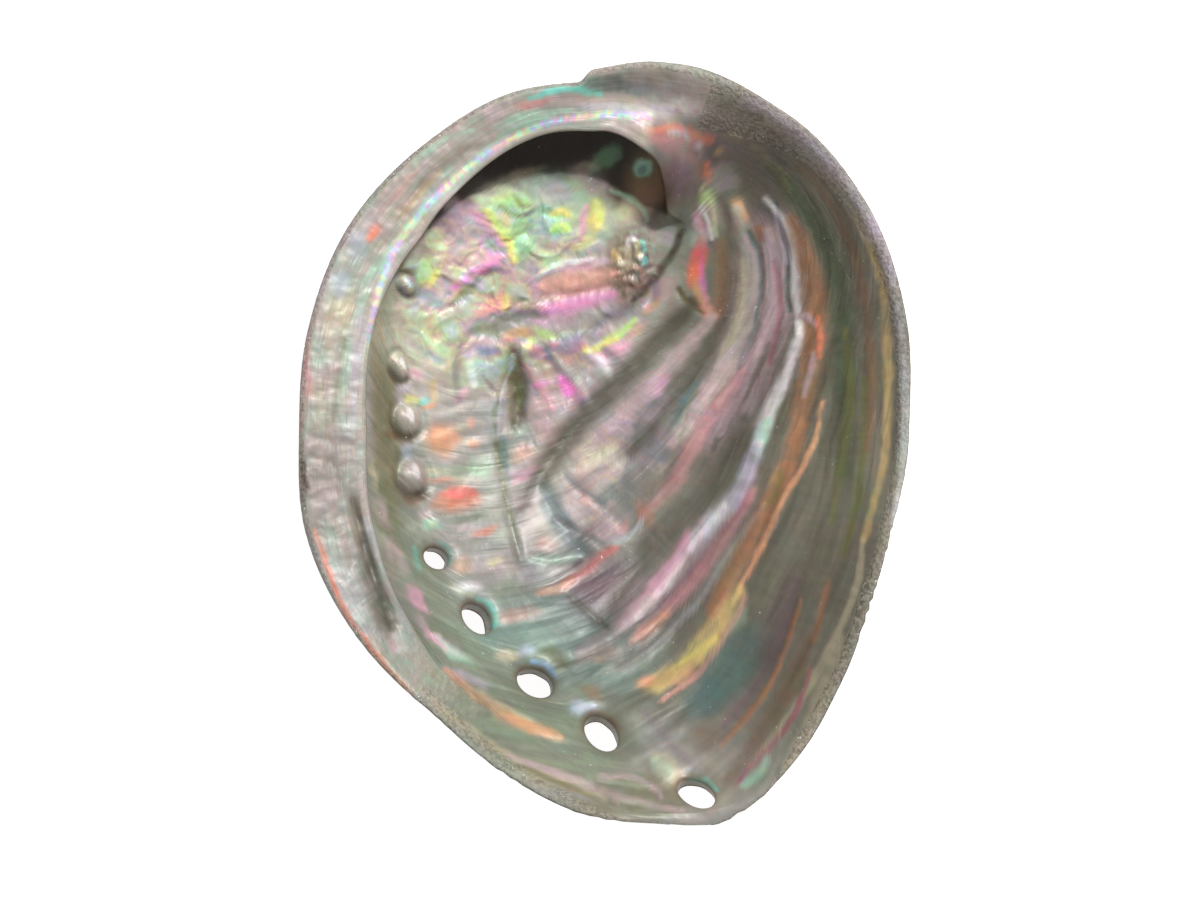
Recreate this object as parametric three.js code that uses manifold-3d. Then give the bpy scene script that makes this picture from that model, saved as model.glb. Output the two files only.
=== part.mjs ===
// An abalone shell lying on its back with the open side up, as one solid.
// Millimetres and degrees, +Z up. The origin is on the surface that the shell rests on, under the middle of it.
// An angle is measured round the foot of the dome, anticlockwise from +X as seen from above.
// A share runs along a line from the foot of the dome, 0, to the shell's outline, 1.
import * as THREE from "three";
import { mergeVertices } from "three/addons/utils/BufferGeometryUtils.js";
import Module from "manifold-3d";

// Driving dimensions.
const foot = { x: -2.5, y: 3.2 }; // the lowest place of the dome, where it rests
const restDepth = 0.5; // how much of the dome's crown is worn flat
const wall = { middle: 2.5, leftRim: 2.0, lipRim: 1.1 }; // thickness of the shell
const shelfEdge = 1.5; // thickness of the shelf's free edge
const shelfRoll = { height: 1.1, share: 0.22 }; // how the margin rolls over into the shelf
const undercut = 4.5; // from the top of the margin down to the hollow under the shelf
const lipStep = { size: 2.1, start: 92, full: 89.5, fade: 58 }; // the outer lip laps over the spire here
const apex = { x: 8.6, y: 48.5 }; // the shell grew round this place, and the spire's tip is under it
const spire = { reach: 23, start: 112, rate: 0.17, swell: 3, whorl: 0.15 };
const growth = { rate: 0.67, stepEvery: 0.28, stepHeight: 1.6 }; // per radian of turn, radians, millimetres
const keel = { outside: 1.2, inside: 0.5, width: 5.5 }; // the raised row of breathing holes

// The shape of the rim and walls, each as [angle, value] pairs.
const outlineRadius = [
  [0, 59.0], [20, 62.1], [40, 66.2], [60, 69.0], [80, 67.7], [92, 65.3], [100, 65.2], [120, 62.0],
  [140, 59.1], [160, 55.8], [180, 54.0], [200, 56.0], [220, 57.5], [240, 59.9], [255, 65.2],
  [270, 71.6], [282, 74.5], [291, 76.3], [300, 73.2], [315, 66.1], [330, 60.8], [345, 58.8],
];
const rimHeight = [
  [0, 38], [40, 38], [60, 37], [75, 34.8], [92, 31.5], [110, 31.5], [140, 33], [170, 35.5],
  [200, 37.2], [230, 38], [260, 37.5], [290, 36.2], [320, 37.6],
];
const wallCurve = [
  [0, 0.9], [50, 0.93], [90, 0.955], [130, 0.975], [180, 0.985], [220, 0.97], [250, 0.93],
  [285, 0.8], [320, 0.86],
]; // how much of a quarter ellipse the wall's profile is: at 1 the wall would end upright
const edgeShare = [
  [0, 0.955], [30, 0.93], [50, 0.86], [60, 0.74], [66, 0.67], [70, 0.675], [73, 0.73], [76, 0.785],
  [80, 0.818], [88, 0.873], [96, 0.879], [104, 0.867], [113, 0.852], [124, 0.831], [133, 0.811],
  [151, 0.81], [167, 0.794], [187, 0.785], [202, 0.794], [214, 0.822], [227, 0.863], [235, 0.9],
  [245, 0.925], [270, 0.935], [300, 0.955],
]; // where the shelf's free edge is, and where it would be on the outer lip
const edgeDrop = [
  [0, 6], [60, 24], [66, 21], [70, 15.5], [75, 10.5], [80, 7.5], [86, 5.6], [94, 2.4], [120, 2.2], [160, 2.4], [200, 2.6],
  [225, 3.2], [250, 4],
]; // how far the shelf's free edge is below the margin
const shelfBlend = [
  [0, 0], [64, 0], [69, 0.35], [74, 0.85], [79, 1], [215, 1], [228, 0.8], [252, 0],
]; // 1 where there is a shelf, 0 where the wall runs straight up to the outer lip
const hollowBlend = [
  [0, 0], [68, 0], [76, 0.25], [84, 0.75], [92, 1], [214, 1], [222, 0.6], [232, 0.1], [240, 0],
]; // 1 where the hollow goes right back under the shelf, 0 where the shelf's edge drops to the floor
const rowShare = [
  [120, 0.86], [142, 0.796], [162, 0.726], [177, 0.685], [194, 0.67], [219.5, 0.692], [239, 0.725],
  [257.5, 0.76], [272, 0.81], [286, 0.965],
]; // where the row of holes runs

// The outer lip as seen from the apex: [angle, distance], from the newest hole round to the spire.
const lipReach = [
  [-95, 117.5], [-85, 118.6], [-76, 109.2], [-62, 87.0], [-45, 65.5], [-30, 54.4], [0, 44.4],
  [44, 23.3], [90, 21.6], [124, 22.9],
];

// The breathing holes, from the newest at the lip. The turn is of the long side, size is long by wide.
const openHoles = [
  { name: "newest", angle: 286.2, share: 0.952, size: [7.8, 5.0], turn: -21 },
  { name: "second", angle: 272.0, share: 0.81, size: [8.4, 6.4], turn: -39 },
  { name: "third", angle: 257.5, share: 0.76, size: [8.3, 5.9], turn: -27 },
  { name: "fourth", angle: 238.7, share: 0.725, size: [7.8, 5.4], turn: -45 },
  { name: "fifth", angle: 219.5, share: 0.692, size: [5.9, 4.7], turn: -33 },
];
const closedHoles = [
  { angle: 194.3, share: 0.67, size: [7.4, 5.6] },
  { angle: 176.6, share: 0.685, size: [6.8, 5.4] },
  { angle: 161.7, share: 0.726, size: [5.6, 3.8] },
  { angle: 142.0, share: 0.796, size: [4.4, 3.2] },
];
const collar = { top: 1.35, foot: 2.4, root: 1.2 }; // widths as shares of the hole's, and its depth in the wall
const collarHeight = { open: 1.4, closed: 0.9 }; // how far the ring round a hole stands out of the dome
const blister = { height: 1.5, sink: 0.4 }; // the pearly lump that closes an old hole inside
const crust = { x: 6.6, y: 33.5, size: [3.2, 5.4, 0.9] }; // the rough patch beside the spire's hollow

// How finely the solid is divided.
const gridCells = 32; // along each side of the square grids that are wrapped onto the dome and the floor
const rows = { top: 6, edge: 2, under: 4 };
const crowd = { angle: 72, strength: 0.4 }; // the lines of the grid are closer together round here

const degree = Math.PI / 180;
const mix = (a, b, f) => a + (b - a) * f;

function smooth(low, high, value) {
  const f = Math.min(1, Math.max(0, (value - low) / (high - low)));
  return f * f * (3 - 2 * f);
}

// The value at an angle on a closed curve through the pairs: a cubic between neighbours, level at each peak and dip.
function around(pairs, angle) {
  const count = pairs.length;
  const pair = (k) => {
    const lap = Math.floor(k / count);
    const [a, v] = pairs[k - lap * count];
    return [a + 360 * lap, v];
  };
  const chord = (k) => (pair(k + 1)[1] - pair(k)[1]) / (pair(k + 1)[0] - pair(k)[0]);
  const slope = (k) => {
    const before = chord(k - 1);
    const after = chord(k);
    return before * after <= 0 ? 0 : (2 * before * after) / (before + after);
  };
  const a = ((angle % 360) + 360) % 360;
  let k = -1;
  while (k + 1 < count && pairs[k + 1][0] <= a) k++;
  const [a0, v0] = pair(k);
  const [a1, v1] = pair(k + 1);
  const width = a1 - a0;
  const f = (a - a0) / width;
  return (
    v0 * (1 + 2 * f) * (1 - f) ** 2 + slope(k) * width * f * (1 - f) ** 2 +
    v1 * f * f * (3 - 2 * f) + slope(k + 1) * width * f * f * (f - 1)
  );
}

// The lap of the outer lip over the spire pushes the outline out, close to the rim only.
function lipPush(angle, share) {
  const lap = angle > lipStep.start ? 0 : smooth(lipStep.fade, lipStep.full - 14, angle);
  return lipStep.size * lap * smooth(lipStep.start, lipStep.full, angle) * share ** 12;
}

// The distance of the present outer lip from the apex, with straight steps between the pairs.
function lipAt(angle) {
  const last = lipReach.length - 1;
  const k = Math.max(1, lipReach.findIndex(([a]) => a >= angle));
  if (angle >= lipReach[last][0]) return lipReach[last][1];
  const [[a0, v0], [a1, v1]] = [lipReach[k - 1], lipReach[k]];
  return mix(v0, v1, Math.max(0, (angle - a0) / (a1 - a0)));
}

// How many radians ago the lip was at a place. An older lip is the present one turned clockwise and shrunk.
function growthAge(x, y) {
  const r = Math.hypot(x - apex.x, y - apex.y);
  let angle = Math.atan2(y - apex.y, x - apex.x) / degree;
  if (angle > lipReach[lipReach.length - 1][0]) angle -= 360;
  let [young, old] = [0, 2 * Math.PI];
  for (let halving = 0; halving < 24; halving++) {
    const age = (young + old) / 2;
    if (lipAt(angle + age / degree) > r * Math.exp(growth.rate * age)) young = age;
    else old = age;
  }
  return young;
}

// Growth paused and started again several times, which leaves steps that run parallel to the lip.
function growthStep(x, y) {
  const wave = (1 - Math.cos((2 * Math.PI * growthAge(x, y)) / growth.stepEvery)) / 2;
  const clearOfSpire = smooth(1.1 * spire.reach, 2.2 * spire.reach, Math.hypot(x - apex.x, y - apex.y));
  return growth.stepHeight * wave ** 1.5 * clearOfSpire;
}

// The whorls of the spire stand out as rounded bands between the turns of a log spiral.
function spireWhorl(x, y) {
  const r = Math.hypot(x - apex.x, y - apex.y) + 1e-6;
  const angle = Math.atan2(y - apex.y, x - apex.x) / degree;
  const turned = Math.log(spire.reach / r) / spire.rate - (spire.start - angle) * degree;
  const phase = (((turned / (2 * Math.PI)) % 1) + 1) % 1;
  return spire.whorl * r * Math.sin(Math.PI * phase) * (1 - smooth(spire.reach, 1.5 * spire.reach, r));
}

// The middle surface of the dome: part of an ellipse from the foot to the rim along every angle.
function domePoint(angle, share) {
  const a = ((angle % 360) + 360) % 360;
  const c = around(wallCurve, a);
  const rise = (1 - Math.sqrt(1 - (c * share) ** 2)) / (1 - Math.sqrt(1 - c * c));
  const r = share * around(outlineRadius, a) + lipPush(a, share);
  const x = foot.x + r * Math.cos(a * degree);
  const y = foot.y + r * Math.sin(a * degree);
  const nearSpire = Math.exp(-((Math.hypot(x - apex.x, y - apex.y) / (0.75 * spire.reach)) ** 2));
  const z = mix(-restDepth, around(rimHeight, a), rise) - spire.swell * nearSpire * (1 - share ** 6);
  return new THREE.Vector3(x, y, z);
}

// The direction square to the dome, pointing into the shell.
function inward(angle, share) {
  const s = Math.min(Math.max(share, 0.01), 0.99);
  const alongAngle = domePoint(angle + 0.5, s).sub(domePoint(angle - 0.5, s));
  const alongShare = domePoint(angle, s + 0.005).sub(domePoint(angle, s - 0.005));
  return alongShare.cross(alongAngle).normalize();
}

// 1 on the row of holes, falling to 0 beside it and beyond its ends.
function onRow(angle, share) {
  const ends = smooth(125, 150, angle) * (1 - smooth(284, 292, angle));
  const off = (share - around(rowShare, angle)) * around(outlineRadius, angle);
  return ends * Math.exp(-((off / keel.width) ** 2));
}

function outside(angle, share) {
  const point = domePoint(angle, share);
  const grown = (growthStep(point.x, point.y) + spireWhorl(point.x, point.y)) * (1 - share ** 8);
  point.addScaledVector(inward(angle, share), -keel.outside * onRow(angle, share) - grown);
  point.z = Math.max(point.z, 0);
  return point;
}

function floor(angle, share) {
  const rim = mix(wall.lipRim, wall.leftRim, around(shelfBlend, angle));
  const thick = mix(wall.middle, rim, share ** 4) - keel.inside * onRow(angle, share);
  return domePoint(angle, share).addScaledVector(inward(angle, share), thick);
}

// The share at which the wall meets the hollow under the shelf.
function hollowShare(angle) {
  const c = around(wallCurve, angle);
  const rise = 1 - undercut / around(rimHeight, angle);
  return Math.sqrt(1 - (1 - rise * (1 - Math.sqrt(1 - c * c))) ** 2) / c;
}

function floorStart(angle) {
  return mix(around(edgeShare, angle) - 0.03, hollowShare(angle), around(hollowBlend, angle));
}

// A point of the shelf or its underside. The step goes 0 to 1 over the top, to 2 round the free edge, to 3 below it.
function shelfPoint(angle, step) {
  const margin = outside(angle, 1);
  const across = new THREE.Vector3(foot.x - margin.x, foot.y - margin.y, 0);
  const width = across.length() - around(outlineRadius, angle) * around(edgeShare, angle);
  across.normalize();
  const drop = around(edgeDrop, angle);
  if (step <= 1) {
    const roll = Math.min(1, step / shelfRoll.share);
    const slope = mix(step, smooth(0, 0.55, step), smooth(98, 88, angle));
    const z = shelfRoll.height * Math.sqrt(1 - (1 - roll) ** 2) * (1 - step) - drop * slope;
    return margin.addScaledVector(across, width * step).add(new THREE.Vector3(0, 0, z));
  }
  const half = shelfEdge / 2;
  const around180 = Math.min(step - 1, 1) * Math.PI;
  const edge = margin.clone().addScaledVector(across, width + half * Math.sin(around180));
  edge.z += -drop - half + half * Math.cos(around180);
  if (step <= 2) return edge;
  const end = floor(angle, floorStart(angle));
  const reach = edge.distanceTo(end);
  const path = new THREE.CubicBezierCurve3(
    edge,
    edge.clone().addScaledVector(across, -0.6 * reach * around(hollowBlend, angle)),
    end.clone().add(new THREE.Vector3(0, 0, 0.25 * reach)),
    end,
  );
  return path.getPoint(step - 2);
}

// The same steps where there is no shelf: over the thin lip and down the wall.
function lipPoint(angle, step) {
  const edge = around(edgeShare, angle);
  const start = floorStart(angle);
  if (step > 1) return floor(angle, mix(edge, start, (step - 1) / 2));
  const margin = outside(angle, 1);
  const share = mix(0.988, edge, Math.max(0, (step - 0.2) / 0.8));
  return margin.lerp(floor(angle, share), Math.min(1, step / 0.2));
}

function rimPoint(angle, step) {
  return lipPoint(angle, step).lerp(shelfPoint(angle, step), around(shelfBlend, angle));
}

// Turns evenly spaced angles into ones that are closer together round one place.
function crowded(angle) {
  const moved = angle - (crowd.strength * Math.sin((angle - crowd.angle) * degree)) / degree;
  return (moved + 360) % 360;
}

// The angle and the ring of a corner of a square grid that is wrapped onto a disc, squares becoming circles.
function wrapped(i, j) {
  const a = (2 * i) / gridCells - 1;
  const b = (2 * j) / gridCells - 1;
  const ring = Math.max(Math.abs(a), Math.abs(b));
  if (ring === 0) return { angle: 0, ring };
  if (Math.abs(a) >= Math.abs(b)) return { angle: crowded((a > 0 ? 0 : 180) + (45 * b) / a), ring };
  return { angle: crowded((b > 0 ? 90 : 270) - (45 * a) / b), ring };
}

const denserOutwards = (ring) => ring * (1.35 - 0.35 * ring);

// The faces of a grid of points, as loose triangles. Each cell is split along its shorter diagonal.
function gridFaces(points, positions) {
  for (let i = 0; i + 1 < points.length; i++) {
    for (let j = 0; j + 1 < points[i].length; j++) {
      const [p, q] = [points[i][j], points[i + 1][j]];
      const [r, s] = [points[i + 1][j + 1], points[i][j + 1]];
      const split = p.distanceTo(r) < q.distanceTo(s) ? [p, q, r, p, r, s] : [q, r, s, q, s, p];
      for (const v of split) positions.push(v.x, v.y, v.z);
    }
  }
}

function shellGeometry() {
  const positions = [];
  const corners = [...Array(gridCells + 1).keys()];
  const disc = (surface) => corners.map((i) => corners.map((j) => surface(wrapped(i, j))));
  const dome = disc(({ angle, ring }) => outside(angle, denserOutwards(ring)));
  gridFaces(dome.map((row) => [...row].reverse()), positions);
  gridFaces(disc(({ angle, ring }) => floor(angle, floorStart(angle) * denserOutwards(ring))), positions);
  const steps = [];
  for (let k = 0; k <= rows.top; k++) steps.push(k / rows.top);
  for (let k = 1; k <= rows.edge; k++) steps.push(1 + k / rows.edge);
  for (let k = 1; k <= rows.under; k++) steps.push(2 + k / rows.under);
  const columns = [...Array(4 * gridCells + 1).keys()].map((k) => crowded((k * 90) / gridCells));
  gridFaces(columns.map((angle) => steps.map((step) => rimPoint(angle, step))), positions);
  return new THREE.BufferGeometry().setAttribute("position", new THREE.Float32BufferAttribute(positions, 3));
}

const wasm = await Module();
wasm.setup();

function solidFrom(geometry) {
  const bare = geometry.clone();
  bare.deleteAttribute("normal");
  bare.deleteAttribute("uv");
  const merged = mergeVertices(bare, 1e-3);
  return new wasm.Manifold(
    new wasm.Mesh({
      numProp: 3,
      vertProperties: new Float32Array(merged.attributes.position.array),
      triVerts: new Uint32Array(merged.index.array),
    }),
  );
}

function geometryFrom(solid) {
  const mesh = solid.getMesh();
  const geometry = new THREE.BufferGeometry();
  geometry.setAttribute("position", new THREE.BufferAttribute(mesh.vertProperties, 3));
  geometry.setIndex(new THREE.BufferAttribute(mesh.triVerts, 1));
  geometry.computeVertexNormals();
  return geometry;
}

// Puts a geometry made round the Y axis at a place, with that axis along a direction and its X axis turned about it.
function placed(geometry, place, direction, turn) {
  const longWay = new THREE.Vector3(Math.cos(turn * degree), Math.sin(turn * degree), 0);
  const yAxis = direction.clone().normalize();
  const zAxis = longWay.clone().cross(yAxis).normalize();
  const xAxis = yAxis.clone().cross(zAxis);
  return geometry.applyMatrix4(new THREE.Matrix4().makeBasis(xAxis, yAxis, zAxis).setPosition(place));
}

// A raised ring on the outside of the dome, flared at its foot. An open hole is cut through it later.
function collarSolid({ angle, share, size: [long, wide], turn = -40 }, height, top) {
  const ring = new THREE.CylinderGeometry(0.5, 0.5, 1, 14, 3);
  const spots = ring.attributes.position;
  for (let i = 0; i < spots.count; i++) {
    const down = 0.5 - spots.getY(i);
    const flare = mix(top, collar.foot, down ** 1.5);
    spots.setXYZ(
      i, spots.getX(i) * flare * long, mix(height, -collar.root, down), spots.getZ(i) * flare * wide,
    );
  }
  return solidFrom(placed(ring, outside(angle, share), inward(angle, share).negate(), turn));
}

// The hole itself: it leans halfway between upright and square to the wall.
function holeSolid({ angle, share, size: [long, wide], turn }) {
  const direction = inward(angle, share).add(new THREE.Vector3(0, 0, 1));
  const bore = new THREE.CylinderGeometry(0.5, 0.5, 16, 16).scale(long, 1, wide);
  return solidFrom(placed(bore, floor(angle, share), direction, turn));
}

// The pearly lump that closes an old hole on the inside.
function blisterSolid({ angle, share, size: [long, wide] }) {
  const lump = new THREE.SphereGeometry(1, 12, 8).scale(wide / 2, blister.height, long / 2);
  const place = floor(angle, share).addScaledVector(inward(angle, share), -blister.sink);
  return solidFrom(placed(lump, place, inward(angle, share), 20));
}

function crustSolid() {
  const angle = Math.atan2(crust.y - foot.y, crust.x - foot.x) / degree;
  const share = Math.hypot(crust.x - foot.x, crust.y - foot.y) / around(outlineRadius, angle);
  const [long, wide, high] = crust.size;
  const lump = new THREE.DodecahedronGeometry(1).scale(long, high, wide);
  return solidFrom(placed(lump, floor(angle, share), inward(angle, share), 10));
}

function buildShell() {
  let solid = solidFrom(shellGeometry());
  for (const hole of openHoles) solid = solid.add(collarSolid(hole, collarHeight.open, collar.top));
  for (const hole of closedHoles) solid = solid.add(collarSolid(hole, collarHeight.closed, 0.6));
  for (const hole of closedHoles) solid = solid.add(blisterSolid(hole));
  solid = solid.add(crustSolid());
  for (const hole of openHoles) solid = solid.subtract(holeSolid(hole));
  return geometryFrom(solid);
}

const nacre = new THREE.MeshStandardMaterial({ color: 0xa8a79b, roughness: 0.35, metalness: 0.2 });
const shell = new THREE.Mesh(buildShell(), nacre);
shell.name = "shell";

const group = new THREE.Group();
group.add(shell);

export default group;
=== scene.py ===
import math
import bpy
import numpy as np
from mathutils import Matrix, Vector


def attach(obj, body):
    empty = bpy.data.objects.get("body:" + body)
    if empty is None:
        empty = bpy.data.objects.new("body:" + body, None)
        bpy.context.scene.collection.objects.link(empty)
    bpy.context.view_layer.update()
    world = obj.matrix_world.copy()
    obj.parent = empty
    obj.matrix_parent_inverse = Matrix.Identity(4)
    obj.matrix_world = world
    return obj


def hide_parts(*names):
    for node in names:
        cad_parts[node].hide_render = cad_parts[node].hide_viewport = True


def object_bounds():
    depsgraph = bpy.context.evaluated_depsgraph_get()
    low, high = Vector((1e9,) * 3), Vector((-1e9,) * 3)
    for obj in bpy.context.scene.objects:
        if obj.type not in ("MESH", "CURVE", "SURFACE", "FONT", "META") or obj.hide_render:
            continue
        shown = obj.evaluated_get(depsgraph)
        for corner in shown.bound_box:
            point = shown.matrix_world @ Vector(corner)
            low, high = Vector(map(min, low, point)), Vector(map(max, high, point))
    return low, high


# An abalone shell on its back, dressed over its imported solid.
# Shapes are worked out in millimetres, the solid's own frame, and go into the mesh as metres.
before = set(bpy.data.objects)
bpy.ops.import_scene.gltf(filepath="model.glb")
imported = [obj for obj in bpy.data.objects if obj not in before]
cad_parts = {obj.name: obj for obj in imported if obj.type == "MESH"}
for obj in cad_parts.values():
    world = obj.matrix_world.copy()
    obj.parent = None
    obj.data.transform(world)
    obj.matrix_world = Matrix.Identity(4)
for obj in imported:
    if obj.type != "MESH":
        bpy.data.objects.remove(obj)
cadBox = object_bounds()
degree = math.pi / 180

# Where the photograph was taken from: over the opening, its pixels measured at the level of the rim.
photoView = {
    "centre": (-0.65, -0.55),  # the place under the middle of the picture
    "rimLevel": 37.0,
    "distance": 420.0,  # from the rim's level up to the camera
    "mmPerPixel": 0.185,
    "frame": (1200, 900),
}

# The shell's own dimensions, the same as the solid's. Pairs are (angle round the foot of the dome, value).
shellShape = {
    "foot": (-2.5, 3.2),
    "restDepth": 0.5,
    "wall": {"middle": 2.5, "leftRim": 2.0, "lipRim": 1.1},
    "shelfEdge": 1.5,
    "shelfRoll": {"height": 1.1, "share": 0.22},
    "shelfSlope": {"share": 0.55, "turns": (98, 88)},
    "underside": {"edgeReach": 0.6, "wallReach": 0.28},
    "undercut": 4.5,
    "lipStep": {"size": 2.1, "start": 92, "full": 89.5, "fade": (58, 75.5), "sharp": 12},
    # how deep the rim is worn, in mm: least, then more from one angle to another, faded out again
    "wornRim": {"least": 0.1, "more": ((225, 240, 0.2), (290, 304, 0.25)), "fade": (340, 360), "every": 1.1},
    "apex": (8.6, 48.5),
    "spire": {"reach": 23, "start": 112, "rate": 0.17, "swell": 3, "whorl": 0.15},
    "growth": {"rate": 0.67, "stepEvery": 0.28, "stepHeight": 1.6},
    "keel": {"outside": 1.2, "inside": 0.5, "width": 5.5},
    "outlineRadius": (
        (0, 59.0), (20, 62.1), (40, 66.2), (60, 69.0), (80, 67.7), (92, 65.3), (100, 65.2), (120, 62.0),
        (140, 59.1), (160, 55.8), (180, 54.0), (200, 56.0), (220, 57.5), (240, 59.9), (255, 65.2),
        (270, 71.6), (282, 74.5), (291, 76.3), (300, 73.2), (315, 66.1), (330, 60.8), (345, 58.8),
    ),
    "rimHeight": (
        (0, 38), (40, 38), (60, 37), (75, 34.8), (92, 31.5), (110, 31.5), (140, 33), (170, 35.5),
        (200, 37.2), (230, 38), (260, 37.5), (290, 36.2), (320, 37.6),
    ),
    "wallCurve": (
        (0, 0.9), (50, 0.93), (90, 0.955), (130, 0.975), (180, 0.985), (220, 0.97), (250, 0.93),
        (285, 0.8), (320, 0.86),
    ),
    "edgeShare": (
        (0, 0.955), (30, 0.93), (50, 0.86), (60, 0.74), (66, 0.67), (70, 0.675), (73, 0.73), (76, 0.785),
        (80, 0.818), (88, 0.873), (96, 0.879), (104, 0.867), (113, 0.852), (124, 0.831), (133, 0.811),
        (151, 0.81), (167, 0.794), (187, 0.785), (202, 0.794), (214, 0.822), (227, 0.863), (235, 0.9),
        (245, 0.925), (270, 0.935), (300, 0.955),
    ),
    "edgeDrop": (
        (0, 6), (60, 24), (66, 21), (70, 15.5), (75, 10.5), (80, 7.5), (86, 5.6), (94, 2.4),
        (120, 2.2), (160, 2.4), (200, 2.6), (225, 3.2), (250, 4),
    ),
    "shelfBlend": ((0, 0), (64, 0), (69, 0.35), (74, 0.85), (79, 1), (215, 1), (228, 0.8), (252, 0)),
    "hollowBlend": (
        (0, 0), (68, 0), (76, 0.25), (84, 0.75), (92, 1), (214, 1), (222, 0.6), (232, 0.1), (240, 0),
    ),
    "rowShare": (
        (120, 0.86), (142, 0.796), (162, 0.726), (177, 0.685), (194, 0.67), (219.5, 0.692), (239, 0.725),
        (257.5, 0.76), (272, 0.81), (286, 0.965),
    ),
    "lipReach": (
        (-95, 117.5), (-85, 118.6), (-76, 109.2), (-62, 87.0), (-45, 65.5), (-30, 54.4), (0, 44.4),
        (44, 23.3), (90, 21.6), (124, 22.9),
    ),
}

# The breathing holes, newest first, then the old ones that pearl has closed.
# Half sizes are as seen from above.
openHoles = (
    {"angle": 286.2, "share": 0.945, "half": (3.7, 2.1), "turn": -21, "lip": 0.5},
    {"angle": 272.0, "share": 0.81, "half": (3.65, 2.5), "turn": -39, "lip": 0.8},
    {"angle": 257.5, "share": 0.76, "half": (3.7, 2.3), "turn": -27, "lip": 0.8},
    {"angle": 238.7, "share": 0.725, "half": (3.4, 2.1), "turn": -45, "lip": 0.8},
    {"angle": 219.5, "share": 0.692, "half": (2.5, 1.85), "turn": -33, "lip": 0.7},
)
closedHoles = (
    {"angle": 194.3, "share": 0.67, "half": (3.7, 2.8), "turn": 100, "rise": 2.1},
    {"angle": 176.6, "share": 0.685, "half": (3.4, 2.6), "turn": 100, "rise": 1.9},
    {"angle": 161.7, "share": 0.726, "half": (2.8, 1.8), "turn": 100, "rise": 1.5},
    {"angle": 142.0, "share": 0.796, "half": (2.2, 1.5), "turn": 110, "rise": 1.1},
)

# How finely the mesh is divided.
fineness = {
    "gridCells": 212,  # along each side of the square grid on the floor, four times a whole number
    "rimRows": (20, 6, 12),  # over the shelf, round its edge, and back underneath
    "crowd": (72, 0.4),  # grid lines are closer together round this angle, by this much
    "patchRings": 7,  # between a breathing hole and the grid around it
    "patchMargin": 0.4,  # millimetres cut away beyond a hole's lip
    "patchPull": 0.85,  # how far the corners round a patch move onto their oval
    "spread": {"turns": 80, "share": 0.8, "reach": 2.4},  # how the corners beyond them are evened out
    "boreRows": 6,  # down the wall of a hole
}


def mix(a, b, f):
    return a + (b - a) * f


def smooth(low, high, value):  # 0 below low, 1 above high, an S curve between them
    f = np.clip((value - low) / (high - low), 0, 1)
    return f * f * (3 - 2 * f)


# A closed smooth curve through (angle, value) pairs: a cubic between neighbours, level at each peak and dip.
def around(pairs, angle):
    a, v = np.array(pairs, float).T
    a = np.concatenate([a[-2:] - 360, a, a[:2] + 360])
    v = np.concatenate([v[-2:], v, v[:2]])
    chord = np.diff(v) / np.diff(a)
    before, after = chord[:-1], chord[1:]
    together = np.where(before + after == 0, 1, before + after)
    slope = np.where(before * after > 0, 2 * before * after / together, 0)
    angle = np.mod(angle, 360)
    k = np.clip(np.searchsorted(a, angle, "right") - 1, 1, len(a) - 3)
    width = a[k + 1] - a[k]
    f = (angle - a[k]) / width
    rise = slope[k - 1] * width * f * (1 - f) ** 2 + slope[k] * width * f * f * (f - 1)
    return v[k] * (1 + 2 * f) * (1 - f) ** 2 + v[k + 1] * f * f * (3 - 2 * f) + rise


# A smooth random field from about -1 to 1: random slopes on a square lattice, faded into each other.
def cloud(x, y, seed):
    turns = np.random.default_rng(seed).random((64, 64)) * 2 * math.pi
    x, y = np.asarray(x, float), np.asarray(y, float)
    i, j = np.floor(x).astype(int), np.floor(y).astype(int)
    fx, fy = x - i, y - j

    def corner(di, dj):
        turn = turns[(i + di) % 64, (j + dj) % 64]
        return np.cos(turn) * (fx - di) + np.sin(turn) * (fy - dj)

    u, w = fx**3 * (fx * (6 * fx - 15) + 10), fy**3 * (fy * (6 * fy - 15) + 10)
    return 1.5 * mix(mix(corner(0, 0), corner(1, 0), u), mix(corner(0, 1), corner(1, 1), u), w)


# A point's place in the photograph, in its pixels: straight lines from the camera onto the rim's level.
def toPhoto(points):
    near = photoView["distance"] / (photoView["distance"] + photoView["rimLevel"] - points[..., 2])
    across = (points[..., 0] - photoView["centre"][0]) / photoView["mmPerPixel"] * near
    up = (points[..., 1] - photoView["centre"][1]) / photoView["mmPerPixel"] * near
    return photoView["frame"][0] / 2 + across, photoView["frame"][1] / 2 - up


# Plan places are (x, y) on the level the shell rests on.
# This gives the angle and the share of the way to the outline.
def polar(x, y):
    dx, dy = x - shellShape["foot"][0], y - shellShape["foot"][1]
    angle = np.degrees(np.arctan2(dy, dx)) % 360
    return angle, np.hypot(dx, dy) / around(shellShape["outlineRadius"], angle)


def planPlace(angle, share):
    x0, y0 = shellShape["foot"]
    r = share * around(shellShape["outlineRadius"], angle)
    return x0 + r * np.cos(angle * degree), y0 + r * np.sin(angle * degree)


def fromApex(x, y):
    dx, dy = x - shellShape["apex"][0], y - shellShape["apex"][1]
    return np.hypot(dx, dy) + 1e-6, np.degrees(np.arctan2(dy, dx))


# Growth coordinates: how many radians ago the lip was here, and which place on the lip it was.
# The older lip is the present one turned clockwise by the age and shrunk by exp(-rate * age).
def growthPlace(x, y):
    lipAngle, lipDistance = np.array(shellShape["lipReach"], float).T
    r, angle = fromApex(x, y)
    angle = np.where(angle > lipAngle[-1], angle - 360, angle)
    young, old = np.zeros_like(r), np.full_like(r, 2 * math.pi)
    for halving in range(24):
        age = (young + old) / 2
        lip = np.interp(angle + age / degree, lipAngle, lipDistance)
        later = lip > r * np.exp(shellShape["growth"]["rate"] * age)
        young, old = np.where(later, age, young), np.where(later, old, age)
    return young, angle + young / degree


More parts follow.
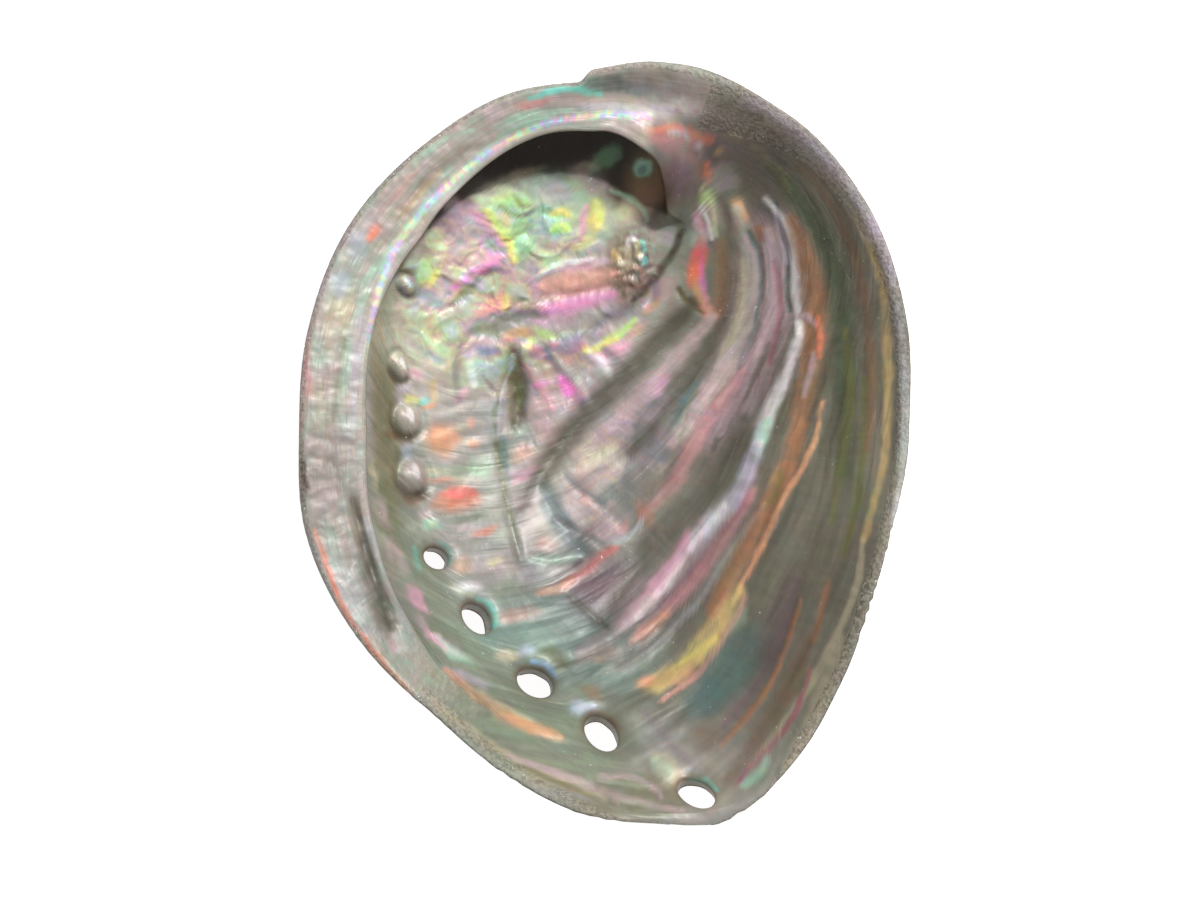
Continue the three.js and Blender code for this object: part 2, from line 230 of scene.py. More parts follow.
# The middle of the dome's wall: part of an ellipse from the foot to the rim along every angle.
def domePoint(x, y):
    angle, share = polar(x, y)
    step, worn = shellShape["lipStep"], shellShape["wornRim"]
    lap = np.where(angle > step["start"], 0, smooth(*step["fade"], angle))
    push = step["size"] * lap * smooth(step["start"], step["full"], angle) * share ** step["sharp"]
    depth = worn["least"]
    for start, full, more in worn["more"]:
        depth = depth + more * smooth(start, full, angle)
    depth = mix(depth, worn["least"], smooth(*worn["fade"], angle))
    ragged = 0.5 + 0.5 * cloud(angle / worn["every"], angle * 0, 53)
    push = push - depth * ragged * np.minimum(share, 1) ** 40
    x, y = x + push * np.cos(angle * degree), y + push * np.sin(angle * degree)
    c = around(shellShape["wallCurve"], angle)
    rise = (1 - np.sqrt(1 - np.minimum(c * share, 0.9995) ** 2)) / (1 - np.sqrt(1 - c * c))
    nearSpire = np.exp(-((fromApex(x, y)[0] / (0.75 * shellShape["spire"]["reach"])) ** 2))
    z = mix(-shellShape["restDepth"], around(shellShape["rimHeight"], angle), rise)
    z = z - shellShape["spire"]["swell"] * nearSpire * (1 - share**6)
    return np.stack([x, y, z], -1)


# The direction square to the dome, into the shell: the cross product of two small steps over it.
def inward(x, y):
    share = polar(x, y)[1]
    pull = np.minimum(1, 0.99 / np.maximum(share, 1e-6))
    x = mix(shellShape["foot"][0], x, pull)
    y = mix(shellShape["foot"][1], y, pull)
    eastward = domePoint(x + 0.1, y) - domePoint(x - 0.1, y)
    northward = domePoint(x, y + 0.1) - domePoint(x, y - 0.1)
    normal = np.cross(eastward, northward)
    return normal / np.linalg.norm(normal, axis=-1, keepdims=True)


def onRow(angle, share):  # 1 along the row of holes, fading beside it and past its ends
    ends = smooth(125, 150, angle) * (1 - smooth(284, 292, angle))
    off = (share - around(shellShape["rowShare"], angle)) * around(shellShape["outlineRadius"], angle)
    return ends * np.exp(-((off / shellShape["keel"]["width"]) ** 2))


# How far a place is from a hole's middle, where 1 is the hole's own edge.
def holeDistance(hole, x, y, shift=(0, 0)):
    cx, cy = planPlace(hole["angle"], hole["share"])
    dx, dy = x - cx - shift[0], y - cy - shift[1]
    c, s = math.cos(hole["turn"] * degree), math.sin(hole["turn"] * degree)
    return np.hypot((dx * c + dy * s) / hole["half"][0], (dy * c - dx * s) / hole["half"][1])


# Relief of the outside: whorls, growth steps, spiral cords, fine growth lines and the collars of the holes, all
# standing outwards. A collar is (holes, height, where it starts to fall, where it ends), in sizes of its hole.
outsideRelief = {
    "cordEvery": 4.2,  # degrees along the lip
    "cordWobble": 0.8,
    "cordHeight": 0.35,
    "lineEvery": 0.028,  # radians of growth
    "lineHeight": 0.14,
    "collars": ((openHoles, 1.4, 1.3, 2.3), (closedHoles, 0.9, 0.3, 1.6)),
}


def outsideHeight(x, y):
    angle, share = polar(x, y)
    r, turn = fromApex(x, y)
    age, along = growthPlace(x, y)
    relief, growth, spire = outsideRelief, shellShape["growth"], shellShape["spire"]
    wave = (1 - np.cos(2 * math.pi * age / growth["stepEvery"])) / 2
    clear = smooth(1.1 * spire["reach"], 2.2 * spire["reach"], r)
    height = growth["stepHeight"] * wave**1.5 * clear
    turned = np.log(spire["reach"] / r) / spire["rate"] - (spire["start"] - turn) * degree
    phase = np.mod(turned / (2 * math.pi), 1)
    nearSpire = 1 - smooth(spire["reach"], 1.5 * spire["reach"], r)
    height = height + spire["whorl"] * r * np.sin(math.pi * phase) * nearSpire
    wobble = relief["cordWobble"] * cloud(along / 9, age * 5, 3)
    cord = (1 + np.cos(2 * math.pi * (along / relief["cordEvery"] + wobble))) / 2
    height = height + relief["cordHeight"] * cord**2 * smooth(12, 40, r)
    lines = np.sin(2 * math.pi * age / relief["lineEvery"] + 5 * cloud(along / 14, age * 8, 4))
    height = height + relief["lineHeight"] * (1 + lines) * smooth(14, 45, r)
    height = height * (1 - share**8) + shellShape["keel"]["outside"] * onRow(angle, share)
    for holes, rise, inner, outer in relief["collars"]:
        for hole in holes:
            height = height + rise * (1 - smooth(inner, outer, holeDistance(hole, x, y)))
    return height


def outsidePoint(x, y):
    point = domePoint(x, y) - inward(x, y) * outsideHeight(x, y)[..., None]
    point[..., 2] = np.maximum(point[..., 2], 0)
    return point


def thickness(angle, share):
    wall = shellShape["wall"]
    rim = mix(wall["lipRim"], wall["leftRim"], around(shellShape["shelfBlend"], angle))
    plain = mix(wall["middle"], rim, np.minimum(share, 1) ** 4)
    return plain - shellShape["keel"]["inside"] * onRow(angle, share)


def smoothFloor(x, y):
    return domePoint(x, y) + inward(x, y) * thickness(*polar(x, y))[..., None]


# Colours of the pearl, given by name, in the usual 0 to 255 steps of a screen.
pearlColours = {
    "silver": (160, 158, 150), "warmGrey": (165, 155, 145), "pinkGrey": (182, 162, 162),
    "lilac": (176, 167, 180), "blueGrey": (172, 186, 198), "paleGrey": (176, 178, 176),
    "white": (228, 226, 226), "cream": (196, 188, 160), "khaki": (186, 176, 146), "pink": (226, 165, 190),
    "magenta": (238, 120, 208), "rose": (205, 130, 132), "crimson": (146, 92, 102), "plum": (112, 90, 98),
    "red": (226, 104, 96), "redOrange": (226, 124, 92), "salmon": (212, 156, 140),
    "orange": (216, 156, 116), "rust": (150, 108, 78), "gold": (196, 170, 112), "yellow": (234, 226, 116),
    "lime": (190, 226, 120), "green": (140, 186, 146), "mint": (156, 196, 172),
    "turquoise": (100, 208, 190), "teal": (108, 138, 126), "deepTeal": (78, 102, 98),
    "sage": (122, 132, 112), "olive": (120, 116, 86), "moss": (100, 102, 58), "darkGreen": (68, 82, 58),
    "greyOlive": (100, 98, 84), "darkGrey": (92, 88, 78), "brown": (112, 88, 66), "darkBrown": (66, 52, 38),
    "hollowShadowBlack": (34, 30, 24), "sky": (124, 166, 208), "satin": (172, 196, 168), "paleSatin": (190, 188, 168),
    "dusk": (132, 126, 130), "grooveShadeBrown": (84, 78, 64), "rosy": (182, 124, 128), "mauve": (168, 146, 150),
    "shelfGrey": (158, 149, 143),
}

# Wide zones of the inside, painted first: (x, y, half length, half width, turn, colour, strength).
pearlZones = (
    # the grey-olive zones on the right wall are its own colour, partly darkened as painted shade
    (800, 430, 330, 130, 90, "greyOlive", 1.0), (690, 640, 150, 90, 45, "greyOlive", 0.9),
    (690, 430, 110, 40, 62, "darkGrey", 0.8), (640, 440, 50, 34, 40, "dusk", 0.8),
    (600, 590, 46, 34, 40, "plum", 0.8), (766, 285, 66, 33, 84, "mauve", 0.9),
    (730, 395, 56, 27, 58, "mauve", 0.7), (700, 560, 70, 22, 50, "mauve", 0.5),
    (480, 700, 160, 60, 150, "sage", 0.9), (560, 640, 90, 40, 160, "teal", 0.7),
    (415, 560, 90, 22, 118, "sage", 0.9), (385, 400, 150, 14, 92, "olive", 0.9),
    (460, 245, 34, 40, 20, "paleSatin", 0.9), (550, 228, 62, 44, 0, "satin", 0.95),
    (440, 340, 40, 60, 80, "paleSatin", 0.8), (500, 290, 40, 34, 0, "pinkGrey", 0.6),
    (600, 290, 60, 40, 0, "pinkGrey", 0.6), (580, 500, 60, 50, 45, "warmGrey", 0.75),
    (575, 375, 60, 36, 40, "pinkGrey", 0.6), (700, 130, 60, 40, 0, "pinkGrey", 0.5),
    # the dark grey zone at 740,160 is painted shade under the outer lip; the black, dark brown and dark grey
    # zones at 540,150, 640,185 and 450,200 are painted shadow in the spire's hollow
    (740, 160, 60, 40, 140, "darkGrey", 0.8), (540, 150, 120, 26, 8, "hollowShadowBlack", 1.0),
    (640, 185, 34, 40, 60, "darkBrown", 1.0), (450, 200, 30, 20, 45, "darkGrey", 0.9),
    (640, 800, 90, 22, 10, "olive", 0.6),
)

# Painted light and shade: ovals where the pearl is made lighter or darker as a whole: (x, y, half length, half
# width, turn, times).
paintedLightShade = (
    (520, 250, 110, 70, 20, 1.25), (450, 300, 70, 70, 0, 1.2), (425, 400, 60, 30, 80, 1.25),
    (470, 195, 34, 22, 30, 1.4), (840, 380, 330, 60, 95, 1.35), (885, 400, 220, 22, 92, 1.4),
    (700, 415, 90, 30, 60, 1.35), (775, 450, 60, 18, 70, 1.35), (725, 205, 30, 24, 0, 1.6),
    (690, 110, 80, 26, -12, 1.7), (630, 200, 30, 22, 0, 1.6), (548, 572, 66, 44, 10, 0.62),
    (600, 645, 60, 34, 25, 0.66), (325, 470, 90, 34, 90, 0.74), (375, 600, 60, 26, 115, 0.74),
    (478, 545, 40, 40, 0, 0.78), (600, 650, 60, 34, 20, 0.75), (575, 540, 40, 50, 0, 0.8),
    (525, 560, 30, 30, 0, 0.85), (525, 600, 30, 14, 0, 0.9), (740, 392, 30, 18, 50, 0.85),
    (622, 348, 34, 22, 35, 1.3), (475, 400, 24, 40, 0, 1.15), (620, 452, 40, 24, 40, 1.15),
    (675, 352, 26, 20, 40, 1.15), (525, 520, 26, 44, 0, 0.88), (577, 552, 24, 26, 0, 0.85),
    (675, 395, 26, 40, 40, 1.2), (780, 450, 40, 18, 70, 1.15), (515, 198, 50, 18, 0, 1.2),
    (882, 480, 80, 14, 95, 1.2), (430, 680, 60, 18, 135, 1.2), (480, 600, 24, 16, 0, 1.12),
    (680, 500, 40, 26, 60, 1.3), (795, 520, 90, 50, 60, 1.2), (722, 610, 60, 22, 60, 1.2),
    (622, 212, 30, 16, 10, 1.3),
)

# Smaller patches on the floor and the wall, in the same form.
pearlPatches = (
    # the upper left, full of curls
    (514, 199, 18, 8, -30, "lime", 0.2), (506, 223, 11, 6, 70, "yellow", 0.5),
    (560, 250, 24, 8, 8, "paleSatin", 0.8), (424, 270, 13, 6, 75, "lime", 0.55),
    (434, 278, 11, 5, 70, "yellow", 0.7), (525, 244, 26, 10, 85, "green", 0.7),
    (547, 222, 20, 16, 0, "mint", 0.6), (559, 227, 8, 5, 0, "lime", 0.8),
    (594, 214, 14, 9, 80, "gold", 0.8), (600, 220, 9, 5, 80, "yellow", 0.7),
    (576, 244, 22, 5, 8, "cream", 0.7), (452, 219, 24, 13, 20, "pinkGrey", 0.6),
    (557, 193, 16, 9, 0, "lilac", 0.6), (476, 272, 14, 5, 48, "pink", 0.5),
    (494, 254, 9, 6, 30, "pink", 0.6), (470, 262, 9, 4, 40, "pink", 0.6),
    (494, 305, 17, 6, 30, "salmon", 0.7), (506, 304, 8, 4, 80, "yellow", 0.7),
    (484, 240, 8, 4, 60, "pink", 0.5), (446, 252, 8, 12, 0, "cream", 0.5),
    (462, 292, 12, 5, 30, "cream", 0.5), (416, 306, 12, 5, 60, "blueGrey", 0.7),
    (440, 300, 9, 5, 60, "mint", 0.6), (414, 336, 14, 7, 70, "lilac", 0.5),
    (430, 330, 14, 8, 70, "cream", 0.5), (458, 330, 18, 7, 70, "lilac", 0.5),
    # the rippled pink panel and what lies round it
    (576, 283, 36, 12, 8, "salmon", 0.7), (576, 305, 34, 8, 12, "pink", 0.7),
    (556, 318, 22, 8, 20, "pink", 0.7), (580, 266, 28, 4, 8, "pink", 0.7),
    (600, 262, 10, 5, 0, "white", 0.5), (536, 300, 12, 14, 0, "pinkGrey", 0.5),
    (612, 352, 20, 8, 35, "pink", 0.7), (596, 352, 12, 6, 35, "pink", 0.6),
    (636, 330, 12, 6, 35, "salmon", 0.6), (572, 389, 13, 4, -35, "magenta", 0.8),
    (543, 384, 9, 3.5, 15, "magenta", 0.6), (590, 376, 14, 8, 30, "blueGrey", 0.5),
    (556, 366, 16, 8, 40, "salmon", 0.5), (580, 350, 9, 4, 60, "orange", 0.5),
    (545, 345, 12, 8, 20, "salmon", 0.5), (517, 334, 14, 6, 10, "orange", 0.85),
    (531, 342, 7, 4, 70, "yellow", 0.8), (545, 334, 10, 4, -30, "lime", 0.5),
    (492, 370, 14, 8, 80, "lilac", 0.8), (476, 356, 11, 10, 0, "blueGrey", 0.8),
    (490, 350, 10, 5, 0, "sky", 0.35), (457, 362, 12, 6, 80, "pinkGrey", 0.5),
    (440, 356, 14, 6, 75, "mint", 0.5), (424, 350, 10, 7, 60, "mint", 0.5),
    # the orange and green ladder beside the holes
    (423, 400, 4.5, 4.5, 0, "turquoise", 0.9), (409, 398, 8, 3.5, -20, "yellow", 0.85),
    (429, 407, 8, 3.5, 0, "orange", 0.9), (433, 391, 14, 3.5, 90, "gold", 0.75),
    (415, 374, 10, 5, -30, "pink", 0.6), (462, 396, 9, 4, 70, "pink", 0.6),
    (442, 440, 16, 15, 0, "orange", 0.85), (473, 444, 5, 5, 0, "orange", 0.7),
    (471, 423, 6, 4, 80, "salmon", 0.7), (456, 472, 24, 7, 0, "green", 0.45),
    (440, 471, 18, 2.6, 0, "cream", 0.8), (443, 480, 20, 3, 0, "salmon", 0.7),
    (480, 466, 12, 9, 0, "green", 0.5), (457, 500, 21, 11, 5, "redOrange", 0.85),
    (459, 494, 16, 4, 6, "red", 0.8), (486, 530, 11, 4, 20, "redOrange", 0.85),
    (466, 528, 14, 3, -8, "pinkGrey", 0.6), (463, 514, 24, 7, 0, "sage", 0.5),
    (430, 524, 7, 5, 0, "mint", 0.8), (434, 526, 4, 3, 0, "yellow", 0.6),
    (426, 512, 8, 7, 60, "pinkGrey", 0.6), (490, 566, 26, 7, 4, "pinkGrey", 0.8),
    (463, 565, 9, 7, 30, "orange", 0.6), (496, 562, 8, 4, 0, "yellow", 0.4),
    (480, 545, 22, 7, 0, "sage", 0.6), (500, 590, 26, 6, 0, "sage", 0.5),
    (464, 590, 12, 6, -20, "cream", 0.6), (515, 615, 24, 6, 10, "salmon", 0.5),
    (545, 600, 24, 6, 14, "teal", 0.5), (506, 636, 24, 8, 8, "teal", 0.5),
    # round the long crack and the dark fold
    (515, 391, 34, 8, 96, "moss", 0.85), (503, 452, 18, 6, 100, "deepTeal", 0.8),
    (521, 433, 14, 10, 30, "teal", 0.7), (524, 455, 13, 8, 30, "salmon", 0.7),
    (526, 473, 12, 5, 30, "pink", 0.7), (545, 415, 14, 12, 0, "pinkGrey", 0.6),
    (560, 522, 34, 10, 128, "deepTeal", 0.95), (577, 549, 13, 9, 0, "deepTeal", 0.8),
    (530, 573, 11, 8, 140, "dusk", 0.9), (577, 561, 7, 5, 0, "darkBrown", 0.8),
    (543, 560, 24, 5, 4, "mint", 0.5), (583, 556, 16, 7, 20, "plum", 0.8),
    (553, 553, 18, 3, 0, "mint", 0.5), (512, 536, 8, 14, 90, "cream", 0.4),
    (655, 386, 16, 8, 45, "pink", 0.7), (659, 382, 9, 5, 45, "magenta", 0.4),
    (689, 405, 26, 12, 62, "deepTeal", 0.9), (610, 440, 26, 9, 42, "pinkGrey", 0.7),
    (590, 462, 22, 7, 42, "cream", 0.4), (640, 440, 20, 12, 50, "darkGrey", 0.7),
    (628, 500, 16, 12, 40, "deepTeal", 0.7), (645, 512, 11, 7, 140, "rust", 0.8),
    (652, 548, 26, 14, 50, "greyOlive", 0.7), (720, 470, 30, 13, 60, "greyOlive", 0.8),
    (599, 592, 26, 18, 40, "plum", 0.7), (598, 455, 22, 8, 40, "cream", 0.6),
    (598, 469, 25, 13, 20, "pinkGrey", 0.7), (588, 457, 17, 3, 40, "cream", 0.6),
    (608, 461, 12, 3, -10, "cream", 0.4), (582, 507, 22, 17, -50, "pinkGrey", 0.7),
    (587, 497, 7, 4, -30, "salmon", 0.8), (605, 530, 16, 12, -40, "mauve", 0.8),
    (622, 527, 6, 5, 40, "rose", 0.6), (528, 502, 12, 10, 0, "pinkGrey", 0.8),
    (588, 521, 8, 2, 25, "cream", 0.6), (552, 432, 9, 14, 140, "salmon", 0.5),
    (620, 425, 20, 8, 38, "mauve", 0.7), (540, 534, 17, 17, 0, "warmGrey", 0.9),
    (546, 544, 9, 7, 0, "salmon", 0.6),
    # beside the spire's hollow
    (656, 135, 26, 6, -14, "rose", 0.55), (690, 140, 16, 5, -40, "rose", 0.5),
    (668, 148, 16, 6, -30, "rose", 0.45), (698, 165, 16, 6, -60, "rust", 0.5),
    (708, 172, 9, 3, -75, "redOrange", 0.9), (681, 178, 30, 12, -62, "plum", 0.7),
    (688, 205, 26, 9, 80, "darkGrey", 0.7), (707, 198, 9, 6, -50, "lime", 0.45),
    (700, 225, 13, 5, -55, "pink", 0.6), (702, 238, 12, 8, 20, "paleGrey", 0.7),
    (722, 178, 14, 12, 0, "pinkGrey", 0.5), (740, 211, 12, 5, -58, "orange", 0.9),
    (761, 233, 8, 7, 40, "rust", 0.9), (697, 262, 20, 8, 75, "red", 0.9),
    (695, 276, 12, 8, 60, "redOrange", 0.95), (700, 296, 14, 7, 100, "orange", 0.85),
    (707, 311, 10, 6, 160, "salmon", 0.8), (704, 280, 20, 4, 95, "magenta", 0.5),
    (722, 280, 42, 8, 88, "rust", 0.75), (725, 285, 42, 6, 88, "brown", 0.7),
    (652, 205, 16, 9, 20, "darkBrown", 0.9), (628, 268, 34, 20, 100, "brown", 0.9),
    # on the crust, the white and turquoise spots are painted glints
    (630, 254, 16, 10, 60, "khaki", 0.7), (632, 240, 6, 4, 20, "white", 0.7),
    (640, 258, 5, 3, 70, "white", 0.8), (622, 264, 5, 3, 0, "cream", 0.8),
    (634, 278, 5, 4, 40, "warmGrey", 0.8), (616, 254, 6, 4, 90, "gold", 0.9),
    (644, 246, 6, 3, 90, "turquoise", 0.7), (645, 262, 5, 3, 60, "turquoise", 0.7),
    (662, 237, 14, 6, -20, "pinkGrey", 0.8), (664, 290, 20, 8, 50, "pinkGrey", 0.6),
    (650, 308, 9, 4, 40, "orange", 0.6), (635, 210, 20, 12, 30, "cream", 0.5),
    (600, 160, 15, 11, 20, "darkGreen", 1.0), (455, 200, 9, 9, 0, "plum", 0.9),
    (641, 169, 10, 8, -30, "deepTeal", 1.0),
    # the right wall and the flat lower part
    (732, 667, 44, 20, 55, "deepTeal", 0.85), (703, 700, 20, 16, 40, "deepTeal", 0.7),
    (778, 620, 46, 12, 75, "plum", 0.4), (700, 742, 20, 12, 20, "brown", 0.6),
    (714, 630, 24, 9, 52, "gold", 0.9), (696, 652, 20, 8, 45, "yellow", 0.55),
    (662, 681, 16, 9, 30, "gold", 0.85), (646, 682, 9, 6, 0, "orange", 0.75),
    (738, 618, 15, 6, 62, "sage", 0.9), (684, 672, 14, 6, 40, "orange", 0.6),
    (758, 446, 12, 6, 70, "mint", 0.85), (646, 634, 14, 8, 35, "salmon", 0.7),
    (600, 655, 22, 7, 15, "salmon", 0.5), (620, 665, 20, 6, 20, "warmGrey", 0.5),
    (800, 540, 60, 24, 80, "greyOlive", 0.6), (761, 773, 13, 8, 40, "sage", 0.8),
    (670, 745, 34, 16, 150, "paleGrey", 0.35), (550, 660, 18, 11, 0, "moss", 0.8),
    # the low left wall
    (374, 476, 14, 3, 95, "khaki", 0.7), (381, 512, 17, 5, 118, "pinkGrey", 0.8),
    (395, 554, 19, 6, 122, "pinkGrey", 0.8), (417, 599, 15, 6, 125, "pink", 0.7),
    (427, 631, 15, 5, 125, "pinkGrey", 0.8), (455, 653, 20, 5, 148, "mint", 0.8),
    (448, 644, 20, 3, 148, "white", 0.4), (468, 678, 22, 5, 155, "lilac", 0.8),
    (436, 640, 14, 3, 140, "pink", 0.6), (523, 724, 26, 6, 160, "orange", 0.5),
    (536, 778, 26, 6, 165, "khaki", 0.4), (610, 800, 40, 6, -8, "paleGrey", 0.5),
    (402, 270, 10, 4, 90, "olive", 0.8), (410, 272, 6, 4, 0, "brown", 0.8),
    # the brown spots at 416,497 and 399,436 are painted shadow under two lumps
    (416, 497, 12, 7, 20, "brown", 0.8), (399, 436, 14, 5, -20, "brown", 0.8),
    (408, 452, 9, 6, 60, "blueGrey", 0.8), (403, 392, 12, 6, 80, "lilac", 0.8),
    # the painted highlights above the holes, with a rust spot among them
    (433, 527, 9, 5, 0, "mint", 0.7), (468, 587, 11, 5, 0, "white", 0.85),
    (507, 656, 12, 6, 0, "cream", 0.9), (527, 650, 9, 5, 0, "blueGrey", 0.9),
    (582, 707, 13, 7, 0, "blueGrey", 0.9), (592, 693, 12, 5, -30, "rust", 0.5),
    (670, 772, 20, 9, -50, "cream", 0.9), (662, 768, 14, 6, -50, "mint", 0.5),
)

# Faint shapes in the painted shadow of the hollow, in the same form.
deepPatches = (
    (606, 158, 17, 10, 40, "green", 0.35), (585, 168, 14, 7, 10, "khaki", 0.15),
    (520, 175, 30, 6, 20, "khaki", 0.15), (649, 178, 22, 28, 0, "brown", 0.95),
    (642, 168, 10, 8, 0, "mint", 0.9), (642, 170, 5.5, 4.5, 0, "deepTeal", 0.7),
    (575, 190, 40, 4, 4, "warmGrey", 0.5), (452, 205, 10, 8, 30, "mauve", 0.8),
)

